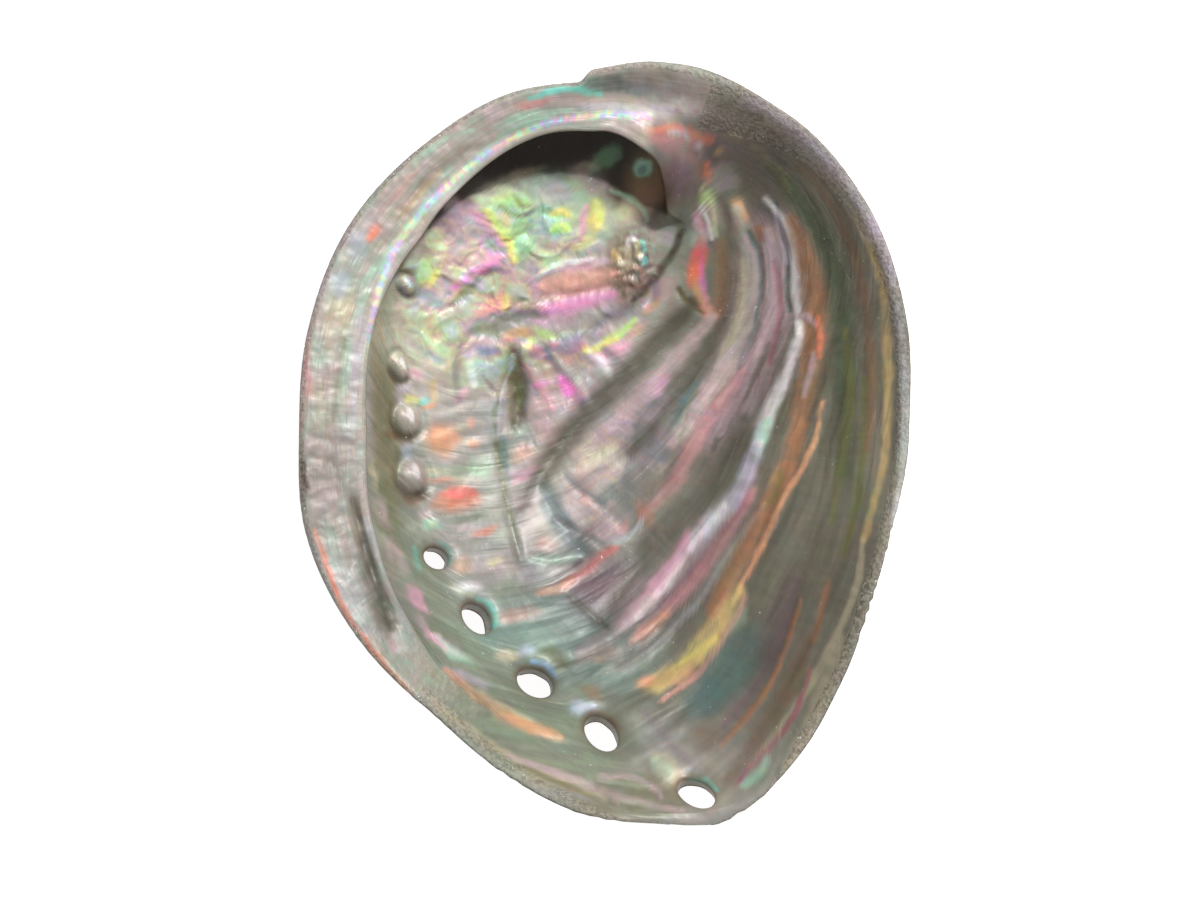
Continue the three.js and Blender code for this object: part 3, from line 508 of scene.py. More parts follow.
# Streaks on the floor and the wall: (colour, strength, half width, lift in mm, run).
pearlStreaks = (
    ("pinkGrey", 0.9, 8, 0.2, ((712, 318), (687, 346), (664, 370), (638, 398), (610, 426), (584, 452))),
    ("darkGrey", 0.8, 5, -0.25, ((722, 322), (707, 348), (685, 385), (660, 420), (630, 455))),
    # the ridges beside the ramp, from left to right: light bands with dark valleys between, the bands partly
    # painted light and the valleys partly painted shade
    ("darkGrey", 0.8, 7, -0.3, ((720, 200), (732, 240), (734, 285), (724, 350), (697, 402))),
    ("warmGrey", 0.95, 11, 0.45, ((737, 212), (746, 262), (744, 303), (736, 337), (720, 372), (700, 405))),
    ("cream", 0.6, 4, 0.1, ((742, 262), (741, 300), (733, 334), (717, 366))),
    ("pinkGrey", 0.8, 8, 0.2, ((730, 352), (714, 382), (692, 416), (672, 444))),
    # dark joints between the pale blocks below the fold
    ("dusk", 0.7, 11, 0, ((541, 482), (551, 504), (562, 526), (572, 540), (584, 554))),
    ("deepTeal", 0.8, 9, -0.15, ((543, 484), (551, 504), (562, 526), (572, 540), (583, 552))),
    ("dusk", 0.8, 3.4, -0.2, ((565, 476), (582, 491), (599, 503), (612, 516), (622, 523))),
    ("deepTeal", 0.6, 8, -0.1, ((600, 500), (613, 492), (628, 482))),
    ("dusk", 0.8, 4, -0.15, ((622, 480), (630, 466), (646, 458), (666, 463))),
    ("dusk", 0.7, 2.6, -0.15, ((556, 520), (580, 533), (603, 545))),
    ("deepTeal", 0.9, 3, -0.35, ((748, 232), (760, 258), (762, 295), (757, 323), (750, 345), (738, 368))),
    ("mauve", 0.9, 6, 0.35, ((766, 232), (770, 267), (769, 295), (764, 325), (753, 353), (736, 381),
                             (718, 406))),
    ("pinkGrey", 0.8, 2, 0.1, ((764, 246), (767, 290), (761, 322))),
    ("rosy", 0.55, 7, 0.25, ((742, 372), (724, 397), (704, 426), (689, 452), (675, 482), (657, 500),
                             (642, 513))),
    ("darkGrey", 0.8, 3, -0.3, ((768, 345), (757, 372), (741, 400), (724, 430), (712, 450))),
    ("mauve", 0.7, 2.2, 0.2, ((760, 345), (751, 370), (737, 406), (720, 436))),
    ("crimson", 0.7, 2.6, -0.2, ((775, 262), (779, 287), (780, 309), (776, 337), (768, 364))),
    ("deepTeal", 0.9, 2, -0.3, ((775, 205), (783, 236), (787, 264), (787, 292), (790, 312))),
    ("paleGrey", 0.85, 4.4, 0.35, ((765, 200), (777, 214), (786, 228), (793, 245), (793, 267), (794, 292),
                                   (797, 314), (799, 335))),
    ("lilac", 0.7, 3, 0.1, ((776, 214), (784, 236), (786, 262))),
    ("white", 0.65, 7, 0.4, ((799, 325), (793, 362), (780, 389), (769, 412), (760, 434), (754, 452))),
    ("mint", 0.8, 5, 0.1, ((768, 420), (762, 438), (757, 452))),
    ("lilac", 0.95, 9, 0.4, ((757, 446), (748, 470), (740, 494), (724, 511), (705, 529), (690, 548))),
    ("white", 0.65, 4.5, 0.25, ((724, 506), (705, 527), (687, 548), (668, 579), (650, 600))),
    ("pink", 0.65, 6, 0.15, ((688, 535), (676, 560), (662, 578), (640, 606), (622, 624))),
    ("pinkGrey", 0.9, 8, 0.25, ((652, 596), (630, 618), (606, 638), (580, 652))),
    ("darkGrey", 0.75, 9, -0.3, ((742, 420), (724, 456), (706, 486), (676, 520), (644, 556), (618, 594),
                                 (596, 622))),
    ("red", 0.8, 4.5, 0.15, ((614, 548), (600, 558), (585, 571), (562, 587))),
    ("orange", 0.8, 4, 0.1, ((572, 580), (558, 588), (540, 593))),
    ("darkBrown", 0.7, 2.2, -0.2, ((569, 595), (587, 612), (608, 628))),
    ("paleGrey", 0.8, 2.2, 0.2, ((642, 520), (630, 536), (611, 545))),
    ("mint", 0.8, 2.4, 0.2, ((532, 557), (557, 560), (580, 556))),
    ("plum", 0.9, 3, -0.25, ((744, 506), (726, 526), (704, 556), (670, 594), (640, 622))),
    ("rosy", 0.7, 6, 0.25, ((752, 492), (732, 526), (712, 556), (694, 580), (678, 600), (656, 622),
                            (632, 641))),
    ("orange", 0.6, 4, 0.05, ((668, 612), (650, 628), (632, 641))),
    ("darkGrey", 0.9, 8, -0.2, ((768, 494), (744, 536), (716, 580), (686, 612), (650, 642), (620, 664))),
    ("paleGrey", 0.4, 3, 0.15, ((764, 505), (745, 530), (727, 554), (700, 598), (666, 633), (622, 668))),
    ("rust", 0.9, 12, 0.1, ((792, 222), (808, 262), (816, 300), (812, 350), (804, 398), (796, 440))),
    ("mauve", 0.8, 3, 0.2, ((796, 316), (806, 316), (815, 325))),
    ("mauve", 0.85, 3, 0.2, ((813, 355), (811, 370), (803, 395))),
    ("redOrange", 0.6, 2.6, 0.15, ((818, 318), (820, 340), (819, 358))),
    ("darkGrey", 0.7, 2, -0.2, ((798, 360), (790, 385), (780, 412), (772, 440), (762, 470))),
    ("rust", 0.95, 10, 0.25, ((800, 425), (791, 458), (776, 496), (754, 534), (730, 578), (712, 612))),
    ("moss", 0.6, 4, 0, ((782, 470), (776, 490), (768, 505))),
    ("orange", 0.6, 2.4, 0.3, ((822, 402), (817, 430), (806, 460), (796, 478), (780, 505), (759, 552),
                               (744, 580), (732, 602))),
    ("gold", 0.8, 8, 0.25, ((740, 590), (724, 614), (706, 644), (684, 664), (656, 686))),
    ("sage", 0.6, 2.6, -0.1, ((716, 622), (700, 642), (676, 662))),
    ("yellow", 0.5, 2.4, 0.05, ((716, 636), (700, 648), (680, 664))),
    ("salmon", 0.6, 2, 0.15, ((746, 596), (730, 628), (712, 656), (690, 680), (662, 700))),
    # painted shadow of the rim: the dark green band along the upper right wall
    ("darkGreen", 0.8, 11, 0, ((774, 168), (794, 194), (807, 212), (826, 244), (835, 277), (842, 320),
                               (846, 385), (844, 470))),
    ("moss", 0.7, 5, 0, ((846, 330), (850, 400), (841, 460), (832, 520))),
    ("moss", 0.7, 4, 0, ((866, 380), (864, 430), (858, 495), (844, 552))),
    ("brown", 0.7, 5, 0.1, ((800, 165), (832, 205), (854, 255), (866, 310), (872, 380), (868, 450))),
    ("gold", 0.55, 4, 0.2, ((851, 203), (872, 252), (883, 290), (887, 345), (888, 400), (885, 452),
                            (880, 480), (864, 541))),
    ("khaki", 0.5, 3.5, 0.1, ((864, 541), (853, 598), (820, 667), (784, 724), (750, 765))),
    ("darkGrey", 0.7, 3, -0.1, ((868, 222), (890, 275), (897, 330), (899, 400), (895, 460))),
    ("warmGrey", 0.9, 9, 0, ((700, 88), (724, 95), (764, 114), (798, 142), (829, 173), (852, 201),
                             (872, 240))),
    ("lilac", 0.8, 5, 0, ((745, 99), (776, 115), (808, 143), (838, 174), (862, 207), (882, 246), (893, 285))),
    ("paleGrey", 0.8, 4, 0, ((893, 285), (900, 330), (904, 380), (904, 430), (900, 480), (894, 530))),
    ("rust", 0.8, 3, 0, ((738, 83), (775, 96), (812, 121), (842, 152))),
    ("darkGrey", 0.6, 3, -0.1, ((712, 100), (756, 120), (792, 150), (824, 182), (846, 214))),
    ("plum", 0.5, 6, 0, ((796, 580), (784, 634), (760, 680), (724, 726))),
    ("rust", 0.9, 2.2, 0.2, ((800, 600), (788, 642), (773, 677), (760, 700), (747, 717), (720, 747))),
    ("brown", 0.6, 9, 0, ((808, 640), (794, 680), (772, 717), (750, 750), (728, 780))),
    ("rust", 0.7, 3, 0, ((828, 585), (822, 610), (813, 640))),
    ("khaki", 0.5, 8, 0.15, ((840, 640), (824, 690), (806, 735), (788, 764))),
    ("crimson", 0.85, 2.4, 0.15, ((810, 670), (794, 715), (774, 742), (748, 769), (737, 784))),
    ("mint", 0.6, 4, 0, ((768, 758), (758, 774), (744, 786))),
    ("brown", 0.8, 1.8, -0.25, ((677, 289), (684, 300), (691, 302), (703, 314))),
    ("moss", 0.9, 2.2, -0.15, ((679, 289), (683, 297), (688, 303), (700, 312))),
    ("darkBrown", 0.85, 4, 0, ((683, 231), (674, 250), (662, 268), (648, 286), (633, 301))),
    ("lime", 0.7, 3.6, 0.1, ((584, 351), (603, 344), (619, 333), (636, 320))),
    ("yellow", 0.6, 2.4, 0.1, ((582, 354), (600, 348), (616, 338))),
    ("darkGrey", 0.6, 6.5, -0.25, ((462, 338), (478, 331), (492, 330), (506, 322), (524, 316), (544, 316))),
    ("dusk", 0.7, 3.4, -0.15, ((460, 345), (456, 374), (460, 402))),
    ("darkGrey", 0.7, 4, -0.25, ((452, 305), (466, 292), (482, 276), (500, 270))),
    ("magenta", 0.5, 4.5, 0.2, ((454, 288), (468, 276), (480, 268), (496, 262))),
    ("pink", 0.7, 5, 0.2, ((474, 216), (484, 222), (494, 232), (500, 244))),
    ("yellow", 0.75, 5, 0.2, ((488, 211), (498, 224), (507, 238), (514, 262))),
    ("lime", 0.35, 6, 0.2, ((496, 198), (510, 200), (528, 204))),
    ("olive", 0.7, 1.6, -0.25, ((500, 207), (517, 216), (534, 212))),
    ("olive", 0.6, 1.6, -0.2, ((513, 195), (521, 206), (530, 206))),
    ("lime", 0.8, 4, 0.2, ((552, 230), (560, 226), (568, 230))),
    ("yellow", 0.8, 4, 0.1, ((554, 213), (563, 212), (570, 215))),
    ("yellow", 0.5, 6, 0.15, ((596, 204), (594, 222), (588, 240), (574, 248))),
    ("pink", 0.7, 2.6, 0, ((586, 206), (583, 222), (580, 238))),
    ("white", 0.8, 3, 0.45, ((540, 274), (556, 267), (575, 262), (592, 260))),
    ("salmon", 0.7, 9, 0.1, ((543, 286), (575, 281), (614, 273))),
    ("rosy", 0.7, 2, -0.3, ((541, 295), (575, 292), (612, 285))),
    ("magenta", 0.4, 6, 0.3, ((541, 310), (560, 306), (585, 302), (612, 294))),
    ("mauve", 0.8, 5, -0.1, ((550, 324), (570, 322), (590, 316))),
    ("dusk", 0.85, 6, -0.3, ((592, 328), (612, 318), (630, 308))),
    # dark brown along the sunken lens, partly painted shade
    ("grooveShadeBrown", 0.95, 8, -0.5, ((514, 354), (519, 375), (521, 398), (516, 426))),
    ("moss", 0.6, 4, 0, ((516, 376), (519, 392), (518, 410))),
    ("paleGrey", 0.8, 3, 0.35, ((513, 356), (504, 380), (497, 404), (495, 440))),
    ("plum", 0.7, 1.4, -0.15, ((483, 374), (488, 383), (495, 391))),
    ("white", 0.6, 4, 0.2, ((474, 352), (470, 370), (474, 386))),
    ("white", 0.6, 3, 0.3, ((552, 352), (566, 372), (584, 392), (592, 402))),
    ("dusk", 0.9, 6, -0.25, ((546, 350), (562, 374), (576, 398), (584, 412))),
    ("magenta", 0.9, 5, 0.15, ((560, 378), (568, 388), (578, 397))),
    ("warmGrey", 0.8, 5, -0.2, ((577, 352), (589, 366), (600, 380))),
    ("white", 0.5, 4, 0.2, ((590, 352), (604, 366), (612, 378))),
    ("dusk", 0.8, 5, -0.2, ((604, 350), (616, 362), (626, 372))),
    ("pink", 0.4, 4, 0.2, ((528, 362), (540, 384), (552, 408))),
    ("pinkGrey", 0.8, 5, 0.25, ((586, 380), (572, 404), (560, 424), (548, 446), (530, 462), (512, 474))),
    ("olive", 0.9, 1.4, 0, ((513, 346), (508, 365), (499, 388), (495, 420), (497, 452), (502, 485),
                            (507, 505), (514, 530), (520, 560))),
    ("olive", 0.6, 0.9, -0.1, ((695, 390), (688, 408), (680, 440), (662, 476), (640, 505))),
    ("orange", 0.6, 5, 0.2, ((446, 670), (482, 699), (523, 722), (560, 737))),
    ("cream", 0.5, 2.2, 0.1, ((470, 686), (500, 704), (532, 720))),
    ("khaki", 0.6, 4, 0.1, ((420, 690), (470, 730), (530, 768), (600, 795), (650, 804))),
    ("pinkGrey", 0.8, 3.5, 0.4, ((509, 756), (552, 771), (580, 781), (605, 793), (633, 800), (660, 807),
                                 (682, 811))),
    ("olive", 0.8, 2.4, -0.3, ((520, 766), (552, 780), (580, 791), (606, 802), (640, 809))),
    ("pinkGrey", 0.7, 2.2, 0.2, ((600, 776), (627, 777), (647, 783), (663, 798))),
    ("plum", 0.5, 4, 0, ((640, 710), (660, 730), (677, 752), (694, 766))),
    ("turquoise", 0.9, 3, 0, ((478, 600), (488, 604), (494, 614), (495, 626))),
    ("sky", 0.9, 3, 0, ((532, 662), (545, 665), (555, 676))),
    ("turquoise", 0.7, 2.6, 0, ((690, 780), (705, 781), (716, 790))),
    ("turquoise", 0.5, 2.4, 0, ((440, 543), (448, 550), (450, 562))),
    ("turquoise", 0.4, 2, 0, ((414, 548), (416, 560), (420, 570))),
    ("paleGrey", 0.8, 3, 0.2, ((670, 131), (685, 134), (697, 141), (701, 152))),
    ("redOrange", 0.6, 3, 0.1, ((632, 128), (652, 131), (676, 127), (700, 136), (712, 140))),
    ("cream", 0.5, 2, 0.1, ((700, 184), (706, 196), (713, 210), (716, 236))),
    ("white", 0.5, 2.2, 0.2, ((700, 205), (708, 222), (712, 240))),
    ("gold", 0.5, 1.6, 0.1, ((716, 150), (724, 154), (734, 156))),
    ("olive", 0.6, 3, 0.1, ((726, 132), (752, 148), (778, 172), (790, 190))),
    ("darkGrey", 0.5, 3, -0.1, ((740, 130), (772, 152), (800, 184), (820, 214))),
    ("mint", 0.5, 3, 0.2, ((612, 190), (626, 196), (642, 208), (646, 220))),
)

# The same two lists for the shelf and its outer edge.
shelfPatches = (
    (340, 310, 26, 14, 74, "khaki", 0.7), (357, 244, 13, 8, 62, "blueGrey", 0.75),
    (340, 285, 12, 8, 66, "blueGrey", 0.7), (372, 233, 9, 5, 62, "redOrange", 0.8),
    (366, 290, 28, 4, 72, "mint", 0.7), (345, 372, 28, 5, 82, "mint", 0.55),
    (355, 373, 60, 4, 86, "lilac", 0.6), (322, 421, 12, 11, 0, "cream", 0.55),
    (307, 373, 34, 4, 92, "rose", 0.5), (330, 470, 46, 26, 88, "pinkGrey", 0.4),
    (345, 590, 50, 16, 112, "paleGrey", 0.8), (303, 478, 27, 3.4, 92, "darkBrown", 0.95),
    (400, 642, 13, 7, 110, "white", 0.5), (393, 646, 9, 4, 110, "pink", 0.5),
    (535, 103, 16, 4, 12, "rose", 0.7), (577, 101, 22, 4, -2, "pinkGrey", 0.6),
    (380, 208, 30, 6, 52, "pinkGrey", 0.6), (400, 190, 26, 4, 48, "salmon", 0.4),
    # the white spot at 690,107 is a painted highlight
    (640, 112, 40, 6, -4, "paleGrey", 0.6), (690, 107, 18, 8, -20, "white", 0.9),
    (668, 111, 14, 4, -8, "lilac", 0.9), (690, 126, 20, 5, -14, "khaki", 0.6),
    (440, 150, 30, 5, 40, "pinkGrey", 0.5), (596, 106, 20, 4, 0, "lilac", 0.5),
    (620, 86, 44, 8, -6, "deepTeal", 0.75), (660, 90, 30, 8, -8, "lilac", 0.5),
    (312, 560, 30, 5, 105, "pinkGrey", 0.6),
)
shelfStreaks = (
    # dark brown in the shelf's groove, partly painted shade
    ("grooveShadeBrown", 0.9, 6, 0, ((353, 500), (359, 525), (367, 552), (375, 580), (385, 608), (392, 628))),
    ("greyOlive", 0.6, 8, 0, ((362, 560), (372, 590), (382, 615), (386, 636))),
    ("paleGrey", 0.8, 4, 0, ((366, 520), (378, 548), (390, 580), (402, 615), (416, 650))),
    ("mint", 0.8, 2.6, 0, ((380, 270), (400, 235), (433, 203), (467, 168), (514, 129), (555, 114))),
    ("mint", 0.6, 2, 0, ((412, 162), (440, 142), (473, 130))),
    ("mint", 0.6, 2, 0, ((508, 122), (540, 113), (570, 110))),
    ("brown", 0.35, 4, 0, ((396, 222), (422, 184), (463, 150), (494, 141), (520, 128))),
    ("gold", 0.5, 2, 0, ((402, 214), (424, 190), (440, 172))),
    ("turquoise", 0.9, 2.6, 0, ((530, 99), (548, 92), (565, 89), (585, 91), (602, 95))),
    ("redOrange", 0.8, 2.0, 0, ((314, 530), (327, 566), (343, 607), (362, 637), (376, 654), (393, 673),
                                (413, 695))),
    ("rose", 0.5, 4, 0, ((312, 320), (304, 350), (300, 390), (301, 430))),
    ("brown", 0.7, 2, 0, ((411, 696), (440, 722), (480, 748))),
    ("olive", 0.5, 3, 0, ((345, 340), (338, 380), (334, 420))),
)
# Grooves along the top of the shelf: (depth, half width, run).
shelfGrooves = (
    (0.9, 8, ((352, 500), (359, 525), (367, 552), (375, 580), (385, 608), (392, 628))),
    (0.3, 4, ((330, 440), (334, 480), (342, 520), (352, 560))),
)
# Along the thin rolled edge of the shelf: bright changing colours, the pearl's rainbow with a painted sheen.
shelfEdgeSheen = {
    "run": ((366, 380), (371, 325), (388, 264), (412, 223), (445, 187), (494, 149), (545, 124), (610, 114),
            (650, 118)),
    "width": 3.2,
    "strength": 0.7,
}


# Relief of the inside. Places and widths are pixels of the photograph, heights and depths are millimetres.
insideRelief = {
    "fold": {
        "run": ((694, 303), (668, 331), (638, 363), (610, 392), (585, 417), (563, 443), (546, 468), (532, 490),
                (520, 512)),
        "depth": 1.0, "width": 10, "ridge": 0.45,
        "clear": 0.85,  # how much the other relief gives way beside it
    },
    "crust": {"place": (633, 266), "size": (24, 38), "turn": -12, "height": 0.8},
    "lens": {"place": (516, 392), "size": (9, 30), "turn": 12, "depth": 0.5},
    "longCrack": {
        "run": ((512, 355), (499, 385), (495, 420), (496, 450), (507, 505), (520, 560)),
        "depth": 0.25, "width": 4,
    },
    "crustGroove": {"run": ((676, 226), (668, 250), (654, 272), (650, 300)), "depth": 0.8, "width": 7},
    # the edge of the shelf's shadow on the floor of the hollow, for the painted shadow beyond it
    "shelfShadowEdge": (
        (412, 244), (430, 226), (463, 201), (494, 187), (535, 175), (570, 173), (600, 180), (625, 192),
        (648, 206), (668, 214),
    ),
    "saddles": ((432, 527), (468, 588), (508, 657), (583, 707), (670, 773)),  # rises above the open holes
    "saddle": {"size": (17, 11), "turn": 20, "height": 0.5},
}

# Heights of the patterns on the floor, in millimetres.
patternHeights = {
    "worms": 0.52, "curls": 0.24, "ribs": 0.07, "broad": 0.45, "ladder": 0.12, "billow": 0.3, "ridges": 0.12,
    "lines": 0.06,
}
# The soft ovals that a pattern keeps to or leaves out: (place, half sizes, turn), in pixels of the photograph.
patternPlaces = {
    "curly": ((510, 270), (130, 120), 0),
    "calmBand": ((540, 322), (70, 20), 5),
    "ribbed": ((576, 292), (38, 24), 10),
    "besideHoles": ((480, 460), (110, 110), 0),
    "ladder": ((450, 470), (62, 110), 0),
    "billowed": ((560, 430), (100, 100), 30),
    "unlined": ((480, 470), (110, 130), 0),
}


# A run is a smooth curve through pixels of the photograph: each span is a cubic that leaves one point towards
# the next but one. This gives a place's distance from it, its side (left of the run is positive) and the share
# of the run's length that lies behind the nearest point.
def alongRun(run, px, py):
    knots = np.array(run, float)
    ends = np.concatenate([[2 * knots[0] - knots[1]], knots, [2 * knots[-1] - knots[-2]]])
    t = np.linspace(0, 1, 6, endpoint=False)[:, None, None]
    a, b, c, d = ends[:-3], ends[1:-2], ends[2:-1], ends[3:]
    curve = b + 0.5 * t * (c - a + t * (2 * a - 5 * b + 4 * c - d + t * (3 * (b - c) + d - a)))
    curve = np.concatenate([curve.transpose(1, 0, 2).reshape(-1, 2), knots[-1:]])
    lengths = np.hypot(*np.diff(curve, axis=0).T)
    behind = np.concatenate([[0], np.cumsum(lengths)])
    best = np.full(np.shape(px), 1e9)
    side, share = np.zeros(np.shape(px)), np.zeros(np.shape(px))
    for (x0, y0), (x1, y1), before in zip(curve[:-1], curve[1:], behind[:-1]):
        ux, uy = x1 - x0, y1 - y0
        f = np.clip(((px - x0) * ux + (py - y0) * uy) / (ux * ux + uy * uy), 0, 1)
        dx, dy = px - x0 - f * ux, py - y0 - f * uy
        d = np.hypot(dx, dy)
        nearer = d < best
        side = np.where(nearer, -np.sign(ux * dy - uy * dx), side)
        share = np.where(nearer, (before + f * math.hypot(ux, uy)) / behind[-1], share)
        best = np.minimum(best, d)
    return best, side, share


# A soft stroke along a run: 1 on the run, falling off past the half width, which narrows towards both ends.
def stroke(run, px, py, wide, power=2.0):
    low, high = np.min(run, axis=0) - 3 * wide - 3, np.max(run, axis=0) + 3 * wide + 3
    near = (px > low[0]) & (px < high[0]) & (py > low[1]) & (py < high[1])
    weight = np.zeros(np.shape(px))
    d, share = alongRun(run, px[near], py[near])[::2]
    taper = 0.5 + 0.5 * np.sin(math.pi * np.clip(share, 0.02, 0.98)) ** 0.5
    narrow = wide * taper + 0.9
    weight[near] = np.exp(-((d / narrow) ** power))
    return weight


# Soft oval: 1 in the middle, falling off past its half sizes, turned anticlockwise by degrees.
def oval(px, py, place, size, turn=0, power=1):
    c, s = math.cos(turn * degree), math.sin(turn * degree)
    dx, dy = px - place[0], -(py - place[1])
    e = ((dx * c + dy * s) / size[0]) ** 2 + ((dy * c - dx * s) / size[1]) ** 2
    return np.exp(-(e**power))


def patternPlace(name, px, py):
    return oval(px, py, *patternPlaces[name], 2)


def ridged(field, level):  # rounded ridges where a smooth field is zero
    return level - np.sqrt(field**2 + 0.01)


# Patterns of the floor: worm-like wrinkles in the upper left, ripples and low bars across the middle, broad
# growth waves, ridges and fine lines that follow the lip, and the lift of every streak.
def patternHeight(x, y, px, py):
    high = patternHeights
    r = fromApex(x, y)[0]
    age, along = growthPlace(x, y)
    bendX, bendY = 5 * cloud(px / 46, py / 46, 11), 5 * cloud(px / 46, py / 46, 12)
    worms = cloud(px / 30 + bendX * 0.16, py / 25 + bendY * 0.16, 13)
    curls = cloud(px / 15 + bendX * 0.1, py / 12 + bendY * 0.1, 22)
    wrinkled = patternPlace("curly", px, py) * (1 - 0.6 * patternPlace("calmBand", px, py))
    height = wrinkled * (high["worms"] * ridged(worms, 0.45) + high["curls"] * ridged(curls, 0.4))
    ribs = np.sin(2 * math.pi * (px / 9.5 + 0.4 * cloud(px / 20, py / 30, 24)))
    height += high["ribs"] * ribs * patternPlace("ribbed", px, py)
    broad = cloud(along / 10 + 0.5 * cloud(px / 60, py / 60, 15), age * 14, 14)
    height += high["broad"] * broad * smooth(18, 60, r) * (1 - 0.7 * patternPlace("besideHoles", px, py))
    across = np.sin(2 * math.pi * (py / 26 + 0.012 * px + 0.7 * cloud(px / 60, py / 60, 16)))
    height += high["ladder"] * across * patternPlace("ladder", px, py)
    billow = cloud(px / 34 - py / 60, py / 26 + px / 70, 23)
    height += high["billow"] * billow * patternPlace("billowed", px, py)
    ridges = np.sin(2 * math.pi * age / 0.085 + 3.0 * cloud(along / 25, age * 6, 17))
    rightSide = smooth(620, 700, px) * (1 - smooth(820, 880, px)) * (1 - smooth(560, 720, py))
    height += high["ridges"] * ridges * rightSide * smooth(22, 46, r)
    for name, strength, wide, lift, run in pearlStreaks:
        if lift:
            height += lift * stroke(run, px, py, wide)
    lines = np.sin(2 * math.pi * age / 0.031 + 4 * cloud(along / 12, age * 9, 18))
    return height + high["lines"] * lines * smooth(36, 66, r) * (1 - patternPlace("unlined", px, py))


def crackDepth(crack, px, py):
    d = alongRun(crack["run"], px, py)[0]
    return crack["depth"] * np.exp(-((d / crack["width"]) ** 2))


# How far the pearl stands out from the smooth floor: patterns, fold, cracks, crust and holes.
def insideHeight(x, y, px, py):
    height = patternHeight(x, y, px, py)
    # the diagonal fold: a groove with a bright ridge below it
    fold, crust, lens, saddle = (insideRelief[name] for name in ("fold", "crust", "lens", "saddle"))
    width = fold["width"]
    d, side, share = alongRun(fold["run"], px, py)
    ends = smooth(0, 0.15, share) * (1 - smooth(0.75, 1, share))
    height *= 1 - fold["clear"] * np.exp(-((d / (1.6 * width)) ** 2)) * ends
    height -= fold["depth"] * np.exp(-((d / width) ** 2)) * ends
    height += fold["ridge"] * np.exp(-(((d - 2 * width) / width) ** 2)) * (side < 0) * ends
    # cracks and the rough crust beside the spire's hollow
    height -= crackDepth(insideRelief["longCrack"], px, py)
    height -= lens["depth"] * oval(px, py, lens["place"], lens["size"], lens["turn"])
    rough = oval(px, py, crust["place"], crust["size"], crust["turn"], 2)
    shards = np.abs(cloud(px / 15 + py / 31, py / 13 - px / 37, 19))
    shards = shards + 0.5 * np.abs(cloud(px / 8 - py / 19, py / 8 + px / 17, 20))
    height += rough * crust["height"] * (0.35 + 1.5 * shards)
    height -= crackDepth(insideRelief["crustGroove"], px, py)
    # smooth round the holes: pulled down at each edge, raised into a saddle to the upper left
    for hole in openHoles:
        e = holeDistance(hole, x, y)
        calm = 1 - np.exp(-((e / 2.0) ** 4))
        height = height * calm - 0.5 * np.exp(-(((e - 1) / 0.45) ** 2))
        height += 0.12 * np.exp(-(((e - 2.1) / 0.5) ** 2))
    for place in insideRelief["saddles"]:
        height += saddle["height"] * oval(px, py, place, saddle["size"], saddle["turn"])
    # the lumps over the closed holes, each in a shallow moat
    for hole in closedHoles:
        e = holeDistance(hole, x, y)
        calm = 1 - np.exp(-((e / 1.2) ** 4))
        height = height * calm + 0.75 * hole["rise"] * np.clip(1 - e * e, 0, 1) * (1 - 0.2 * e)
        height += -0.35 * np.exp(-(((e - 1.15) / 0.25) ** 2)) + 0.15 * np.exp(-(((e - 1.6) / 0.3) ** 2))
    return height


def insidePoint(x, y):
    flat = smoothFloor(x, y)
    px, py = toPhoto(flat)
    share = polar(x, y)[1]
    height = insideHeight(x, y, px, py) * (1 - smooth(0.9, 0.97, share))
    return flat + inward(x, y) * height[..., None]


def hollowShare(angle):  # where the wall meets the hollow under the shelf
    c = around(shellShape["wallCurve"], angle)
    deep = np.maximum(shellShape["undercut"], around(shellShape["edgeDrop"], angle) + 2.6)
    rise = 1 - deep / around(shellShape["rimHeight"], angle)
    return np.sqrt(1 - (1 - rise * (1 - np.sqrt(1 - c * c))) ** 2) / c


# Near the newest hole the floor's grid runs almost to the rim. Elsewhere it stops where the shelf's rows begin.
# The rows leave the lip at an early step or a late one: (step, steps over which the rest is spread).
rimGrid = {
    "plain": ((0, 1), (266, 1), (278, 0), (294, 0), (306, 1)),
    "lipTop": 0.988, "last": 0.985, "early": (0.2, 0.8), "late": (2.7, 0.3), "bulge": 0.3,
}


def floorStart(angle):
    underShelf = around(shellShape["hollowBlend"], angle)
    usual = mix(around(shellShape["edgeShare"], angle) - 0.03, hollowShare(angle), underShelf)
    return mix(rimGrid["last"], usual, around(rimGrid["plain"], angle))


# Relief on top of the shelf: low crumples and the grooves at its lower end, faded out at both margins.
def shelfHeight(px, py, onTop):
    height = 0.22 * cloud(px / 26, py / 18, 51) + 0.1 * cloud(px / 9, py / 7, 52)
    grooves = 0
    for depth, wide, run in shelfGrooves:
        grooves = grooves + depth * stroke(run, px, py, wide)
    return (height - grooves) * smooth(0.04, 0.2, onTop) * (1 - smooth(0.85, 1, onTop))


